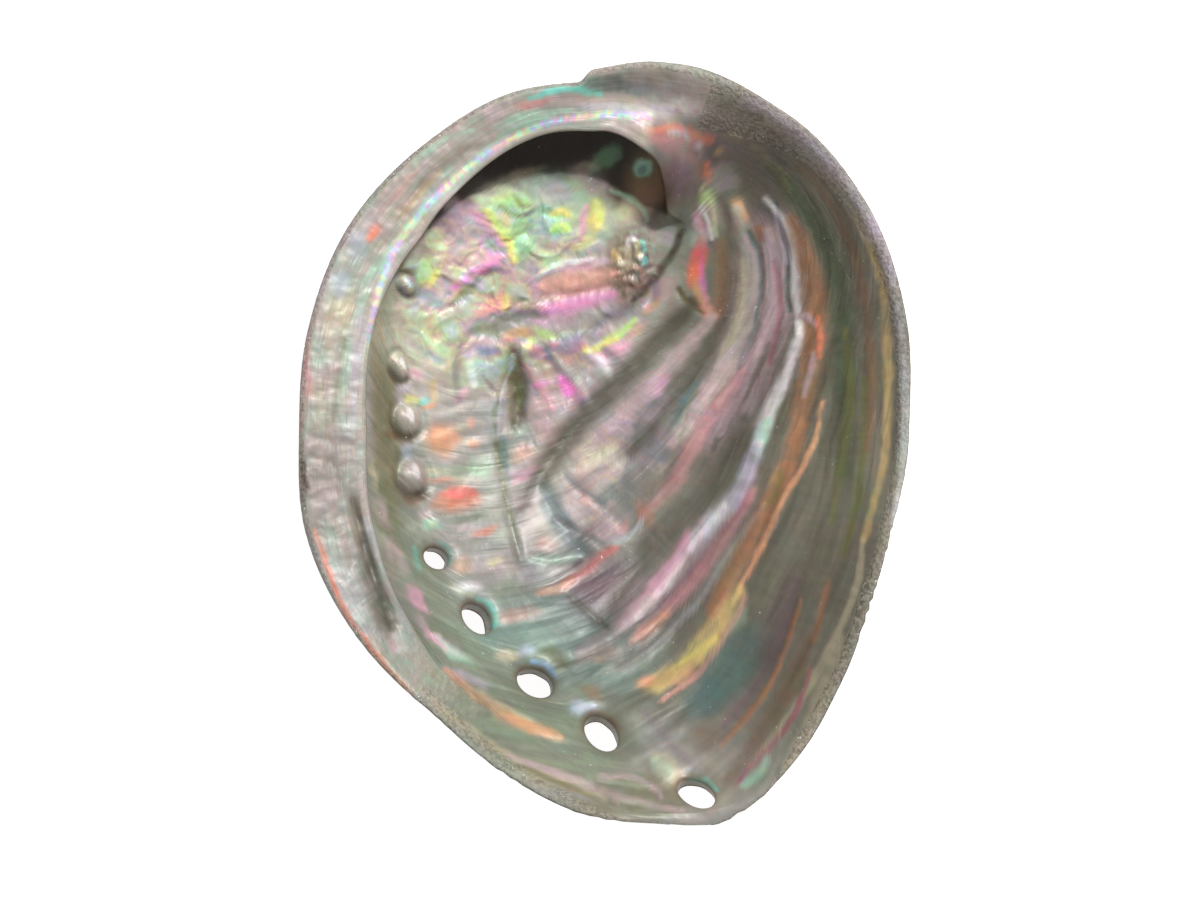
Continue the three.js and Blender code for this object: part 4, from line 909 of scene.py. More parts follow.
# Rows over the shelf: steps 0 to 1 cross its top, to 2 go round its free edge, to 3 return under it to the
# wall. The underside is a cubic that arrives along the wall.
def shelfPoint(angle, step):
    foot = np.array(shellShape["foot"])
    margin = outsidePoint(*planPlace(angle, np.ones_like(angle)))
    inwards = np.concatenate([foot - margin[..., :2], np.zeros(margin.shape[:-1] + (1,))], -1)
    length = np.linalg.norm(inwards, axis=-1)
    inwards = inwards / length[..., None]
    width = length - around(shellShape["outlineRadius"], angle) * around(shellShape["edgeShare"], angle)
    drop = around(shellShape["edgeDrop"], angle)
    roll, slant, under = (shellShape[name] for name in ("shelfRoll", "shelfSlope", "underside"))
    onTop = np.minimum(step, 1)
    slope = mix(onTop, smooth(0, slant["share"], onTop), smooth(*slant["turns"], angle))
    rolled = np.sqrt(1 - (1 - np.minimum(1, onTop / roll["share"])) ** 2)
    lift = roll["height"] * rolled * (1 - onTop) - drop * slope
    up = np.array([0, 0, 1.0])
    top = margin + inwards * (width * onTop)[..., None] + up * lift[..., None]
    relief = np.zeros(onTop.shape)
    shelved = (around(shellShape["shelfBlend"], angle) > 0.5) & (onTop < 1)
    px, py = toPhoto(top[shelved])
    relief[shelved] = shelfHeight(px, py, onTop[shelved])
    top = top + up * (relief * smooth(0.5, 1, around(shellShape["shelfBlend"], angle)))[..., None]
    half = shellShape["shelfEdge"] / 2
    bend = np.clip(step - 1, 0, 1) * math.pi
    aside = (width + half * np.sin(bend))[..., None]
    level = (-drop - half + half * np.cos(bend))[..., None]
    edge = margin + inwards * aside + up * level
    start = floorStart(angle)
    end = insidePoint(*planPlace(angle, start))
    reach = np.linalg.norm(edge - end, axis=-1)[..., None]
    hollow = around(shellShape["hollowBlend"], angle)[..., None]
    a = edge - inwards * under["edgeReach"] * reach * hollow
    wallWay = smoothFloor(*planPlace(angle, start + 0.01)) - smoothFloor(*planPlace(angle, start - 0.01))
    b = end + wallWay / np.linalg.norm(wallWay, axis=-1)[..., None] * under["wallReach"] * reach
    t = np.clip(step - 2, 0, 1)[..., None]
    back = edge * (1 - t) ** 3 + a * 3 * t * (1 - t) ** 2 + b * 3 * t * t * (1 - t) + end * t**3
    return np.where((step <= 1)[..., None], top, np.where((step <= 2)[..., None], edge, back))


# The same rows where there is no shelf: over the thin rounded lip and down the wall.
def lipPoint(angle, step):
    usual = around(rimGrid["plain"], angle)
    edge = around(shellShape["edgeShare"], angle)
    start = floorStart(angle)
    early, earlySpan = rimGrid["early"]
    late, lateSpan = rimGrid["late"]
    overLip = mix(rimGrid["lipTop"], edge, np.clip((step - early) / earlySpan, 0, 1))
    down = np.where(step < 1, overLip, mix(edge, start, (step - 1) / 2))
    close = mix(rimGrid["lipTop"], rimGrid["last"], np.clip((step - late) / lateSpan, 0, 1))
    over = mix(np.clip(step / late, 0, 1), np.clip(step / early, 0, 1), usual)
    margin = outsidePoint(*planPlace(angle, np.ones_like(angle)))
    wall = insidePoint(*planPlace(angle, mix(close, down, usual)))
    bulge = rimGrid["bulge"] * np.sin(math.pi * over)
    return mix(margin, wall, over[..., None]) + np.array([0, 0, 1.0]) * bulge[..., None]


def rimPoint(angle, step):
    shelved = around(shellShape["shelfBlend"], angle)[..., None]
    return mix(lipPoint(angle, step), shelfPoint(angle, step), shelved)


def crowded(angle):
    place, strength = fineness["crowd"]
    return (angle - strength * np.sin((angle - place) * degree) / degree) % 360


# A square grid wrapped onto a disc: squares become circles, and every corner gets an angle and a ring.
# The floor uses every corner, and the dome every second one.
def wrappedGrid():
    line = np.linspace(-1, 1, fineness["gridCells"] + 1)
    a, b = np.meshgrid(line, line, indexing="ij")
    ring = np.maximum(np.abs(a), np.abs(b))
    safe = np.where(ring == 0, 1, ring)
    sideways = np.where(a > 0, 0, 180) + 45 * b / np.where(np.abs(a) < 1e-9, safe, a)
    upways = np.where(b > 0, 90, 270) - 45 * a / np.where(np.abs(b) < 1e-9, safe, b)
    angle = np.where(np.abs(a) >= np.abs(b), sideways, upways)
    return crowded(angle), ring * (1.35 - 0.35 * ring)


# The places of a block's outer corners, anticlockwise. The first one is start corners on from the lower right.
def borderLoop(i0, i1, j0, j1, start):
    right = [(i1, j) for j in range(j0, j1)]
    top = [(i, j1) for i in range(i1, i0, -1)]
    left = [(i0, j) for j in range(j1, j0, -1)]
    bottom = [(i, j0) for i in range(i0, i1)]
    loop = np.array(right + top + left + bottom)
    return np.roll(loop, -start, axis=0)


# The corners round a patch of cells, in order: the sides that no second cell of the patch shares, end to end.
def patchLoop(patch):
    padded = np.pad(patch, 1)
    i, j = np.nonzero(patch)
    below, above = ~padded[i + 1, j], ~padded[i + 1, j + 2]
    before, after = ~padded[i, j + 1], ~padded[i + 2, j + 1]
    starts = np.concatenate([
        (i[below], j[below]), (i[after] + 1, j[after]),
        (i[above] + 1, j[above] + 1), (i[before], j[before] + 1),
    ], axis=1).T.tolist()
    ends = np.concatenate([
        (i[below] + 1, j[below]), (i[after] + 1, j[after] + 1),
        (i[above], j[above] + 1), (i[before], j[before]),
    ], axis=1).T.tolist()
    following = {tuple(start): tuple(end) for start, end in zip(starts, ends)}
    loop = [tuple(starts[0])]
    while following[loop[-1]] != loop[0]:
        loop.append(following[loop[-1]])
    return np.array(loop)


def atCorners(grid, corners):
    return grid[corners[:, 0], corners[:, 1]]


def stripFaces(outer, inner):  # quads between two closed loops of vertex numbers
    return np.stack([outer, np.roll(outer, -1), np.roll(inner, -1), inner], -1)


def gridQuads(numbers, keep):  # quads of a grid of vertex numbers, where its cells are kept
    quads = np.stack([numbers[:-1, :-1], numbers[1:, :-1], numbers[1:, 1:], numbers[:-1, 1:]], -1)
    return quads[keep]


def doubled(cells):  # the same cells on the floor's grid, which is twice as fine as the dome's
    return np.kron(cells, np.ones((2, 2))) > 0


# Quads and triangles between a closed loop and one with half as many corners.
def halvingFaces(fine, coarse, flip):
    quads = np.stack([fine[1::2], np.roll(fine, -2)[::2], np.roll(coarse, -1), coarse], -1)
    wedges = np.stack([fine[::2], fine[1::2], coarse], -1)
    return (quads[:, ::-1], wedges[:, ::-1]) if flip else (quads, wedges)


# Evens out the free corners round the cut cells: each moves most of the way to its four neighbours' mean.
def spreadCorners(gridX, gridY, cut, near):
    free = near[1:-1, 1:-1] & ~(cut[1:, 1:] | cut[:-1, 1:] | cut[1:, :-1] | cut[:-1, :-1])
    for turn in range(fineness["spread"]["turns"]):
        for grid in (gridX, gridY):
            middle = grid[1:-1, 1:-1]
            even = (grid[2:, 1:-1] + grid[:-2, 1:-1] + grid[1:-1, 2:] + grid[1:-1, :-2]) / 4
            grid[1:-1, 1:-1] = np.where(free, mix(middle, even, fineness["spread"]["share"]), middle)


# Cells within a hole's border come out, and the corners round them move onto a wider oval, so that rings fit
# between. The bore leans with the wall: outside, its middle is shifted by the wall's thickness along the slope.
def cutPatch(hole, floorX, floorY, domeX, domeY, keep):
    centre = planPlace(hole["angle"], hole["share"])
    into = inward(np.array(centre[0]), np.array(centre[1]))
    slant = thickness(np.array(hole["angle"]), np.array(hole["share"])) * into[2] / (1 + into[2])
    shift = (float(slant * into[0]), float(slant * into[1]))
    wider = {**hole, "half": tuple(half + hole["lip"] + fineness["patchMargin"] for half in hole["half"])}
    near = holeDistance(wider, floorX[::2, ::2], floorY[::2, ::2]) < 1
    near = near | (holeDistance(wider, domeX, domeY, shift) < 1)
    patch = near[:-1, :-1] | near[1:, :-1] | near[:-1, 1:] | near[1:, 1:]
    coarse = patchLoop(patch)
    loop = np.stack([2 * coarse, coarse + np.roll(coarse, -1, axis=0)], 1).reshape(-1, 2)

    # the corners' directions from the hole's middle, spread out so that none is behind the one before it
    c, s = math.cos(hole["turn"] * degree), math.sin(hole["turn"] * degree)
    dx, dy = atCorners(floorX, loop) - centre[0], atCorners(floorY, loop) - centre[1]
    way = np.arctan2((dy * c - dx * s) / hole["half"][1], (dx * c + dy * s) / hole["half"][0])
    ahead = np.maximum((np.roll(way, -1) - way + math.pi) % (2 * math.pi) - math.pi, 0.02)
    way = way[0] + (np.cumsum(np.roll(ahead, 1)) - ahead[-1]) * 2 * math.pi / ahead.sum()
    ovalX = hole["half"][0] * np.cos(way) * c - hole["half"][1] * np.sin(way) * s
    ovalY = hole["half"][0] * np.cos(way) * s + hole["half"][1] * np.sin(way) * c

    outerCentre = (centre[0] + shift[0], centre[1] + shift[1])
    sides = ((floorX, floorY, centre, loop, 1), (domeX, domeY, outerCentre, coarse, 2))
    for gridX, gridY, middle, corners, every in sides:
        i, j = corners[:, 0], corners[:, 1]
        onEdge = (i == 0) | (j == 0) | (i == len(gridX) - 1) | (j == len(gridX) - 1)
        wideX, wideY, beside = ovalX[::every], ovalY[::every], 8 // every
        reach = np.hypot(gridX[i, j] - middle[0], gridY[i, j] - middle[1]) / np.hypot(wideX, wideY)
        reach = np.concatenate([reach[-beside:], reach, reach[:beside]])
        even = np.convolve(reach, np.ones(2 * beside + 1) / (2 * beside + 1), "valid")
        pull = np.where(onEdge, 0, fineness["patchPull"])
        gridX[i, j] = mix(gridX[i, j], middle[0] + even * wideX, pull)
        gridY[i, j] = mix(gridY[i, j], middle[1] + even * wideY, pull)
    keep = keep & ~patch
    reach = fineness["spread"]["reach"]
    spreadCorners(floorX, floorY, doubled(~keep), holeDistance(wider, floorX, floorY) < reach)
    spreadCorners(domeX, domeY, ~keep, holeDistance(wider, domeX, domeY, shift) < reach)
    middles = (centre, outerCentre)
    return keep, {"hole": hole, "loop": loop, "coarse": coarse, "oval": (ovalX, ovalY), "middles": middles}


# Rings of points from a patch's border to its hole, on one side of the wall, rolling over into the bore. Also
# their plan places.
def sideRings(bore, surface, border, middle, direction):
    lip, count = bore["hole"]["lip"], fineness["patchRings"]
    holeX, holeY = middle[0] + bore["oval"][0], middle[1] + bore["oval"][1]
    t = (1 - np.arange(1, count + 1) / count)[:, None] ** 1.6
    x, y = mix(holeX, border[0], t), mix(holeY, border[1], t)
    gap = np.hypot(x - holeX, y - holeY)
    bend = np.clip(1 - gap / lip, 0, 1)
    sink = lip * (1 - np.sqrt(1 - bend**2)) * 0.8
    return surface(x, y) - direction * inward(x, y) * sink[..., None], np.stack([x, y], -1)


def halved(grid, coarse):  # the border's corners with a new one in the middle of each side
    corners = atCorners(grid, coarse)
    return np.stack([corners, (corners + np.roll(corners, -1)) / 2], -1).reshape(-1)


# The whole shell as one closed skin: dome, rim rows and floor, with a bore let in for each open hole.
def shellSkin():
    layers, faces, wedges = [], [], []

    # Takes points in and gives their vertex numbers. Zones are 0 outside, 1 inside, 2 rim and shelf, 3 bores.
    # The step is the place across the rim's rows, and -1 elsewhere.
    def addPoints(points, plan, zone, angle, step=-1.0):
        shape = points.shape[:-1]
        first = sum(len(layer["zone"]) for layer in layers)
        layers.append({
            "points": points.reshape(-1, 3), "plan": plan.reshape(-1, 2),
            "zone": np.full(shape, float(zone)).ravel(),
            "step": np.broadcast_to(step, shape).ravel(), "angle": angle.ravel(),
        })
        return first + np.arange(math.prod(shape)).reshape(shape)

    def joinRows(rows, fine, coarse, flip):
        faces.extend(stripFaces(a, b) for a, b in zip(rows[:-1], rows[1:]))
        quads, corners = halvingFaces(fine, coarse, flip)
        faces.append(quads)
        wedges.append(corners)

    n = fineness["gridCells"]
    half = n // 2
    angle, ring = wrappedGrid()
    onFloor = floorStart(angle) * ring
    domeX, domeY = planPlace(angle[::2, ::2], mix(onFloor, ring, smooth(0.8, 1, ring))[::2, ::2])
    floorX, floorY = planPlace(angle, onFloor)
    keep, bores = np.ones((half, half), bool), []
    for hole in openHoles:
        keep, bore = cutPatch(hole, floorX, floorY, domeX, domeY, keep)
        bores.append(bore)
    dome = addPoints(outsidePoint(domeX, domeY), np.stack([domeX, domeY], -1), 0, angle[::2, ::2])
    floor = addPoints(insidePoint(floorX, floorY), np.stack([floorX, floorY], -1), 1, angle)
    print("dome and floor:", dome.size + floor.size, "points")

    # rim rows between the dome's border and the floor's border
    top, edge, under = fineness["rimRows"]
    steps = np.concatenate([
        np.linspace(0, 1, top + 1), 1 + np.arange(1, edge + 1) / edge, 2 + np.arange(1, under + 1) / under,
    ])
    columns = crowded(np.arange(4 * n) * 90 / n)
    columnGrid, stepGrid = np.meshgrid(columns, steps[1:-1], indexing="ij")
    points = rimPoint(columnGrid, stepGrid)
    rim = addPoints(points, points[..., :2], 2, columnGrid, stepGrid)
    rows = list(rim.T) + [atCorners(floor, borderLoop(0, n, 0, n, half))]
    joinRows(rows, rows[0], atCorners(dome, borderLoop(0, half, 0, half, half // 2)), True)
    print("rim and shelf:", rim.size, "points")

    # bores: rings lead from the border of each patch to the hole on both sides, and down its wall
    for bore in bores:
        loop, coarse = bore["loop"], bore["coarse"]
        border = (atCorners(floorX, loop), atCorners(floorY, loop))
        outerBorder = (halved(domeX, coarse), halved(domeY, coarse))
        inner, innerPlan = sideRings(bore, insidePoint, border, bore["middles"][0], 1)
        outer, outerPlan = sideRings(bore, outsidePoint, outerBorder, bore["middles"][1], -1)
        f = (np.arange(1, fineness["boreRows"]) / fineness["boreRows"])[:, None, None]
        wall = mix(inner[-1][None], outer[-1][None], f)
        rows = [atCorners(floor, loop)]
        parts = ((inner, innerPlan, 1), (wall, wall[..., :2], 3), (outer[::-1], outerPlan[::-1], 0))
        for points, plan, zone in parts:
            rows += list(addPoints(points, plan, zone, polar(plan[..., 0], plan[..., 1])[0]))
        joinRows(rows, rows[-1], atCorners(dome, coarse), False)
    print("bores:", len(openHoles))

    faces.append(gridQuads(dome, keep)[:, ::-1])
    faces.append(gridQuads(floor, doubled(keep)))
    quads, triangles = np.concatenate(faces), np.concatenate(wedges)
    used = np.unique(np.concatenate([quads.ravel(), triangles.ravel()]))
    made = {name: np.concatenate([layer[name] for layer in layers])[used] for name in layers[0]}
    lo, hi = np.array(cadBox[0]) * 1000, np.array(cadBox[1]) * 1000
    made["points"] = np.clip(made["points"], lo, hi)
    made["faces"], made["wedges"] = np.searchsorted(used, quads), np.searchsorted(used, triangles)
    return made


skin = shellSkin()
print("skin:", len(skin["points"]), "points,", 2 * len(skin["faces"]) + len(skin["wedges"]), "triangles")


def meshObject(name, points, quads, wedges):
    mesh = bpy.data.meshes.new(name)
    mesh.vertices.add(len(points))
    mesh.vertices.foreach_set("co", (points * 0.001).astype(np.float32).ravel())
    corners = np.concatenate([quads.ravel(), wedges.ravel()]).astype(np.int32)
    mesh.loops.add(len(corners))
    mesh.loops.foreach_set("vertex_index", corners)
    mesh.polygons.add(len(quads) + len(wedges))
    starts = np.concatenate([np.arange(len(quads)) * 4, quads.size + np.arange(len(wedges)) * 3])
    mesh.polygons.foreach_set("loop_start", starts.astype(np.int32))
    mesh.update(calc_edges=True)
    mesh.validate()
    mesh.polygons.foreach_set("use_smooth", np.ones(len(mesh.polygons), bool))
    piece = bpy.data.objects.new(name, mesh)
    bpy.context.scene.collection.objects.link(piece)
    return piece


shell = meshObject("shellSurface", skin["points"], skin["faces"], skin["wedges"])
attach(shell, "root")
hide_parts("shell")


def painted(name):  # from screen steps to the light they stand for
    part = np.array(pearlColours[name]) / 255
    return np.where(part < 0.04045, part / 12.92, ((part + 0.055) / 1.055) ** 2.4)


def brushed(tint, weight, name, strength):
    return mix(tint, painted(name), (np.clip(weight, 0, 1) * strength)[:, None])


# Colour steps of a rainbow as three cosines a third of a turn apart, from -1 to 1.
def rainbow(phase):
    return np.cos(2 * math.pi * (phase[:, None] - np.array([0, 1 / 3, 2 / 3])))


def patched(tint, patches, px, py, broken):
    for x, y, long, wide, turn, name, strength in patches:
        near = np.hypot(px - x, py - y) < 1.7 * max(long, wide)
        weight = oval(px[near], py[near], (x, y), (long * 1.15, wide * 1.15), turn, 2.2) * broken[near]
        tint[near] = brushed(tint[near], weight, name, strength)
    return tint


def streaked(tint, streaks, px, py, broken):
    for name, strength, wide, lift, run in streaks:
        tint = brushed(tint, stroke(run, px, py, wide, 3.2) * broken, name, strength)
    return tint


# Where every point of the skin is, in the plan, in the photograph and in growth coordinates. Also its place
# pushed about a little, so that outlines wander, and how broken the paint is there.
def skinPlaces():
    x, y = skin["plan"][:, 0], skin["plan"][:, 1]
    px, py = toPhoto(skin["points"])
    age, along = growthPlace(x, y)
    at = {"x": x, "y": y, "px": px, "py": py, "age": age, "along": along}
    at["wx"] = px + 3.2 * cloud(px / 17, py / 17, 31) + 1.4 * cloud(px / 7, py / 7, 33)
    at["wy"] = py + 3.2 * cloud(px / 17, py / 17, 32) + 1.4 * cloud(px / 7, py / 7, 34)
    at["softX"], at["softY"] = px + 1.6 * cloud(px / 15, py / 15, 37), py + 1.6 * cloud(px / 15, py / 15, 38)
    old = smooth(25, 55, fromApex(x, y)[0])
    bands = 0.35 * cloud(along / 8, age * 7, 35) + 0.3 * cloud(along / 1.5, age * 8, 61)
    at["broken"] = 0.88 + bands * old + 0.2 * cloud(px / 8, py / 8, 36)
    at["folded"] = stroke(insideRelief["fold"]["run"], at["softX"], at["softY"], 10.5, 3)
    at["below"] = (skin["zone"] == 1) | (skin["zone"] == 2) & (skin["step"] > 2)  # floor and shelf's underside
    return at


# The holes and the lumps of the closed ones: brown round the open holes, more on their upper side, and teal at
# their edges; on each lump a painted highlight to its upper side and a painted shadow along its lower side.
def holesPainted(tint, x, y, px, py):
    for hole in openHoles:
        e = holeDistance(hole, x, y)
        # brown round each open hole, stronger on its upper side where the bore's wall is in shade: partly
        # painted shade
        upper = 0.35 + 0.65 * smooth(-1, 2, (y - planPlace(hole["angle"], hole["share"])[1]))
        tint = brushed(tint, (1 - smooth(1.05, 1.5, e)) * upper, "brown", 0.7)
        tint = brushed(tint, (1 - smooth(0.9, 1.1, e)) * cloud(px / 9, py / 9, 63), "teal", 0.9)
    for hole in closedHoles:
        e = holeDistance(hole, x, y)
        cx, cy = planPlace(hole["angle"], hole["share"])
        long, wide = hole["half"]
        # painted shadow along the lower side of each lump
        low = smooth(-0.3, 1, (cy - y + 0.4 * (cx - x)) / wide)
        tint = brushed(tint, 1 - smooth(0.7, 1, e), "warmGrey", 0.8)
        tint = brushed(tint, np.exp(-(((e - 1.05) / 0.35) ** 2)) * low, "darkBrown", 0.75)
        # painted highlight on the upper side of each lump
        paintedHighlight = holeDistance({**hole, "half": (long * 0.55, wide * 0.3)}, x, y, (0.1, 0.25 * long))
        tint = brushed(tint, 1 - smooth(0.5, 1.1, paintedHighlight), "white", 0.75)
    return tint


# The floor and the wall: zones, patches, streaks, the fold, the painted shadow in the hollow under the shelf,
# the holes.
def floorPaint(at):
    px, py, below = at["px"], at["py"], at["below"]
    tint = np.tile(painted("silver"), (len(px), 1))
    tint = patched(tint, pearlZones, at["wx"], at["wy"], np.ones(len(px)))
    tint = patched(tint, pearlPatches, at["wx"], at["wy"], at["broken"])
    tint = streaked(tint, pearlStreaks, at["softX"], at["softY"], at["broken"])
    # the fold's groove painted dark brown, partly its colour and partly painted shade in the crease
    tint = brushed(tint, at["folded"] * (0.9 + 0.1 * cloud(px / 12, py / 12, 62)), "grooveShadeBrown", 0.9)
    # painted shadow: past the edge of the shelf's shadow, the floor and the shelf's underside are darkened to
    # dark brown
    d, side = alongRun(insideRelief["shelfShadowEdge"], at["softX"], at["softY"])[:2]
    deep = smooth(-2.5, 2.5, d * side) * (px < 668) * (py < 262) * (px > 415)
    tint = mix(tint, 0.14 * tint + 0.2 * painted("darkBrown"), 0.9 * (deep * below)[:, None])
    for x0, y0, long, wide, turn, name, strength in deepPatches:
        weight = oval(at["wx"], at["wy"], (x0, y0), (long, wide), turn, 2.4) * below
        tint = brushed(tint, weight, name, strength)
    return holesPainted(tint, at["x"], at["y"], px, py)


# The shelf and the rim: grain along the rows, patches, streaks and the painted sheen along the rolled edge.
def shelfPaint(at):
    px, py, step, angle = at["px"], at["py"], skin["step"], skin["angle"]
    broken = 0.85 + 0.4 * cloud(angle / 5, step * 5, 39) + 0.2 * cloud(px / 7, py / 7, 40)
    grain = cloud(angle / 14, step * 4 + 0.8 * cloud(angle / 6, step, 41), 42)
    grain = grain + 0.6 * cloud(angle / 7, step * 7, 43)
    tint = np.tile(painted("shelfGrey"), (len(px), 1))
    tint = brushed(tint, 0.3 + grain, "mint", 0.4)
    tint = brushed(tint, 0.2 - grain, "khaki", 0.4)
    tint = brushed(tint, cloud(px / 24, py / 24, 47), "pinkGrey", 1.0)
    tint = patched(tint, shelfPatches, at["wx"], at["wy"], broken)
    tint = streaked(tint, shelfStreaks, at["softX"], at["softY"], broken)
    # painted sheen along the shelf's rolled edge, in the pearl's rainbow colours
    d, share = alongRun(shelfEdgeSheen["run"], px, py)[::2]
    paintedSheen = np.exp(-((d / shelfEdgeSheen["width"]) ** 2)) * smooth(0, 0.2, share)
    hues = 0.72 + 0.3 * rainbow(6 * share + 0.5 * cloud(px / 6, py / 6, 44))
    return mix(tint, hues, shelfEdgeSheen["strength"] * paintedSheen[:, None])


# The pearl's colour at every point: the two paints joined, with painted shade under the shelf, shot with rainbow
# colours that change with the slope of the relief, made lighter on slopes facing the light and darker on those
# facing away as painted light and shade, then times the painted light and shade of the ovals. Also the rainbow's
# own phase and strength, and how much the finest relief is crumpled like satin or lined along the growth.
def pearlTint(at):
    x, y, px, py, folded = (at[name] for name in ("x", "y", "px", "py", "folded"))
    zone, step, angle = skin["zone"], skin["step"], skin["angle"]
    onShelf = (zone == 2) * around(shellShape["shelfBlend"], angle) * (1 - smooth(1.5, 2.0, step))
    onShelf = onShelf * (1 - smooth(638, 660, px) * smooth(112, 124, py))
    tint = mix(floorPaint(at), shelfPaint(at), onShelf[:, None])
    # painted shade under the shelf: round its free edge and along its underside over the hollow, darkened
    # towards dark brown
    underShelfShade = (zone == 2) * smooth(1.3, 2.0, step) * (1 - smooth(2.2, 2.95, step))
    underShelfShade = underShelfShade * around(shellShape["hollowBlend"], angle)
    tint = mix(tint, painted("darkBrown"), 0.8 * underShelfShade[:, None])
    # where the relief leans towards the light, seen over a millimetre
    slopeToLight = insideHeight(x, y, px, py) - insideHeight(x + 0.45, y + 0.65, px + 2.4, py - 3.5)
    slopeToLight = np.clip(slopeToLight / 0.25, -1.2, 1.2) * (1 - smooth(0.88, 0.96, polar(x, y)[1]))
    slopeToLight = slopeToLight * (1 - onShelf) * (1 - underShelfShade)
    # how lively the rainbow is: most in the upper left, least on the pink panel and under the arch beside it
    lively = 0.07 + 0.11 * oval(px, py, (500, 300), (125, 130), 20, 2)
    lively = lively + 0.07 * oval(px, py, (640, 400), (130, 200), 40, 2)
    panel = oval(px, py, (578, 288), (44, 30), 10, 2)
    panel = np.maximum(panel, 0.8 * oval(px, py, (535, 324), (70, 18), 5, 2))
    lively = np.where(onShelf > 0.5, 0.1, lively * (1 - 0.7 * panel))
    lively = lively * (1 - 0.8 * underShelfShade) * (1 - 0.8 * folded)
    phase = 0.3 * slopeToLight + 0.7 * cloud(px / 44, py / 44, 45) + 0.25 * cloud(at["along"] / 6, at["age"] * 5, 46)
    tint = tint * (1 + 0.5 * lively[:, None] * rainbow(phase))
    # painted light and shade: slopes facing the light are made lighter, those facing away darker
    tint = tint * (1 + 0.2 * slopeToLight[:, None] * np.sqrt(lively)[:, None])
    satin = oval(px, py, (505, 285), (120, 100), 0, 3)
    satin = np.maximum(satin, 0.35 * oval(px, py, (555, 400), (100, 84), 0, 3))
    satin = np.maximum(satin * (1 - 0.9 * folded) * (1 - 0.6 * panel), 0.1)
    satin = mix(satin, 0.2, onShelf) * (1 - 0.7 * underShelfShade)
    lined = (1 - 0.95 * np.minimum(satin * 2, 1)) * smooth(12, 42, fromApex(x, y)[0])
    lined = mix(lined, 0.32, onShelf)
    # painted light and shade: each oval makes the colour lighter or darker
    for x0, y0, long, wide, turn, factor in paintedLightShade:
        tint = tint * factor ** oval(px, py, (x0, y0), (long, wide), turn, 1.5)[:, None]
    return np.clip(tint, 0.004, 0.95), phase, lively, satin, lined


def pointAttribute(piece, name, kind, values):
    layer = piece.data.attributes.new(name, kind, "POINT")
    layer.data.foreach_set("color" if kind == "FLOAT_COLOR" else "vector", values.astype(np.float32).ravel())


# The growth grain runs along the lip on the floor and the outside, and along the rows on the shelf.
def paintShell():
    at = skinPlaces()
    tint, phase, lively, satin, lined = pearlTint(at)
    pointAttribute(shell, "pearlTint", "FLOAT_COLOR", np.column_stack([tint, np.ones(len(tint))]))
    pointAttribute(shell, "pearlPhase", "FLOAT_COLOR", np.column_stack([phase % 1, lively, satin, lined]))
    shelved = around(shellShape["shelfBlend"], skin["angle"]) * (1 - smooth(1.4, 2.8, skin["step"]))
    onShelf = (skin["zone"] == 2) * shelved
    wayAlong = mix(at["along"], skin["angle"], onShelf) * 1.05
    wayAcross = mix(at["age"] * 40, skin["step"] * 15, onShelf)
    way = np.column_stack([wayAlong, wayAcross, skin["points"][:, 2]])
    pointAttribute(shell, "grainWay", "FLOAT_VECTOR", way)


paintShell()
print("pearl painted")


def newMaterial(name):
    material = bpy.data.materials.new(name)
    material.use_nodes = True
    return material, material.node_tree, material.node_tree.nodes["Principled BSDF"]


def newGroup(name, inputs, outputs):
    group = bpy.data.node_groups.new(name, "ShaderNodeTree")
    for socket, kind, value in inputs:
        made = group.interface.new_socket(socket, in_out="INPUT", socket_type=kind)
        if value is not None:
            made.default_value = value
    for socket, kind in outputs:
        group.interface.new_socket(socket, in_out="OUTPUT", socket_type=kind)
    return group, group.nodes.new("NodeGroupInput").outputs, group.nodes.new("NodeGroupOutput").inputs


def mathNode(tree, kind, *values):
    node = tree.nodes.new("ShaderNodeMath")
    node.operation = kind
    for socket, value in zip(node.inputs, values):
        if isinstance(value, (int, float)):
            socket.default_value = value
        else:
            tree.links.new(value, socket)
    return node.outputs[0]


def mixNode(tree, blend, factor, a, b):
    node = tree.nodes.new("ShaderNodeMix")
    node.data_type, node.blend_type, node.clamp_result = "RGBA", blend, False
    for socket, value in ((node.inputs[0], factor), (node.inputs[6], a), (node.inputs[7], b)):
        if isinstance(value, (int, float)):
            socket.default_value = value
        elif isinstance(value, tuple):
            socket.default_value = (*value, 1)
        else:
            tree.links.new(value, socket)
    return node.outputs[2]


def noiseNode(tree, vector, scale, detail, stretch=(1, 1, 1), twist=0.0):
    mapping = tree.nodes.new("ShaderNodeMapping")
    mapping.inputs["Scale"].default_value = stretch
    noise = tree.nodes.new("ShaderNodeTexNoise")
    if isinstance(scale, (int, float)):
        noise.inputs["Scale"].default_value = scale
    else:
        tree.links.new(scale, noise.inputs["Scale"])
    noise.inputs["Detail"].default_value = detail
    noise.inputs["Distortion"].default_value = twist
    tree.links.new(vector, mapping.inputs["Vector"])
    tree.links.new(mapping.outputs["Vector"], noise.inputs["Vector"])
    return noise.outputs["Fac"]


def rangeNode(tree, value, low, high, newLow=0.0, newHigh=1.0):
    node = tree.nodes.new("ShaderNodeMapRange")
    node.interpolation_type = "SMOOTHSTEP"
    tree.links.new(value, node.inputs["Value"])
    for socket, number in zip(("From Min", "From Max", "To Min", "To Max"), (low, high, newLow, newHigh)):
        node.inputs[socket].default_value = number
    return node.outputs["Result"]


# Satin folds: smooth noise twisted by itself, in two sizes, the smaller one weaker.
def satinFolds():
    group, given, made = newGroup(
        "satinFolds",
        [("Vector", "NodeSocketVector", None), ("Scale", "NodeSocketFloat", 300.0)],
        [("Height", "NodeSocketFloat")],
    )
    wide = noiseNode(group, given["Vector"], given["Scale"], 0.6, (1, 1, 0.4), 1.6)
    smaller = mathNode(group, "MULTIPLY", given["Scale"], 3.1)
    small = noiseNode(group, given["Vector"], smaller, 0.5, (1, 0.7, 0.4), 1.2)
    group.links.new(mathNode(group, "MULTIPLY_ADD", small, 0.22, wide), made["Height"])
    return group


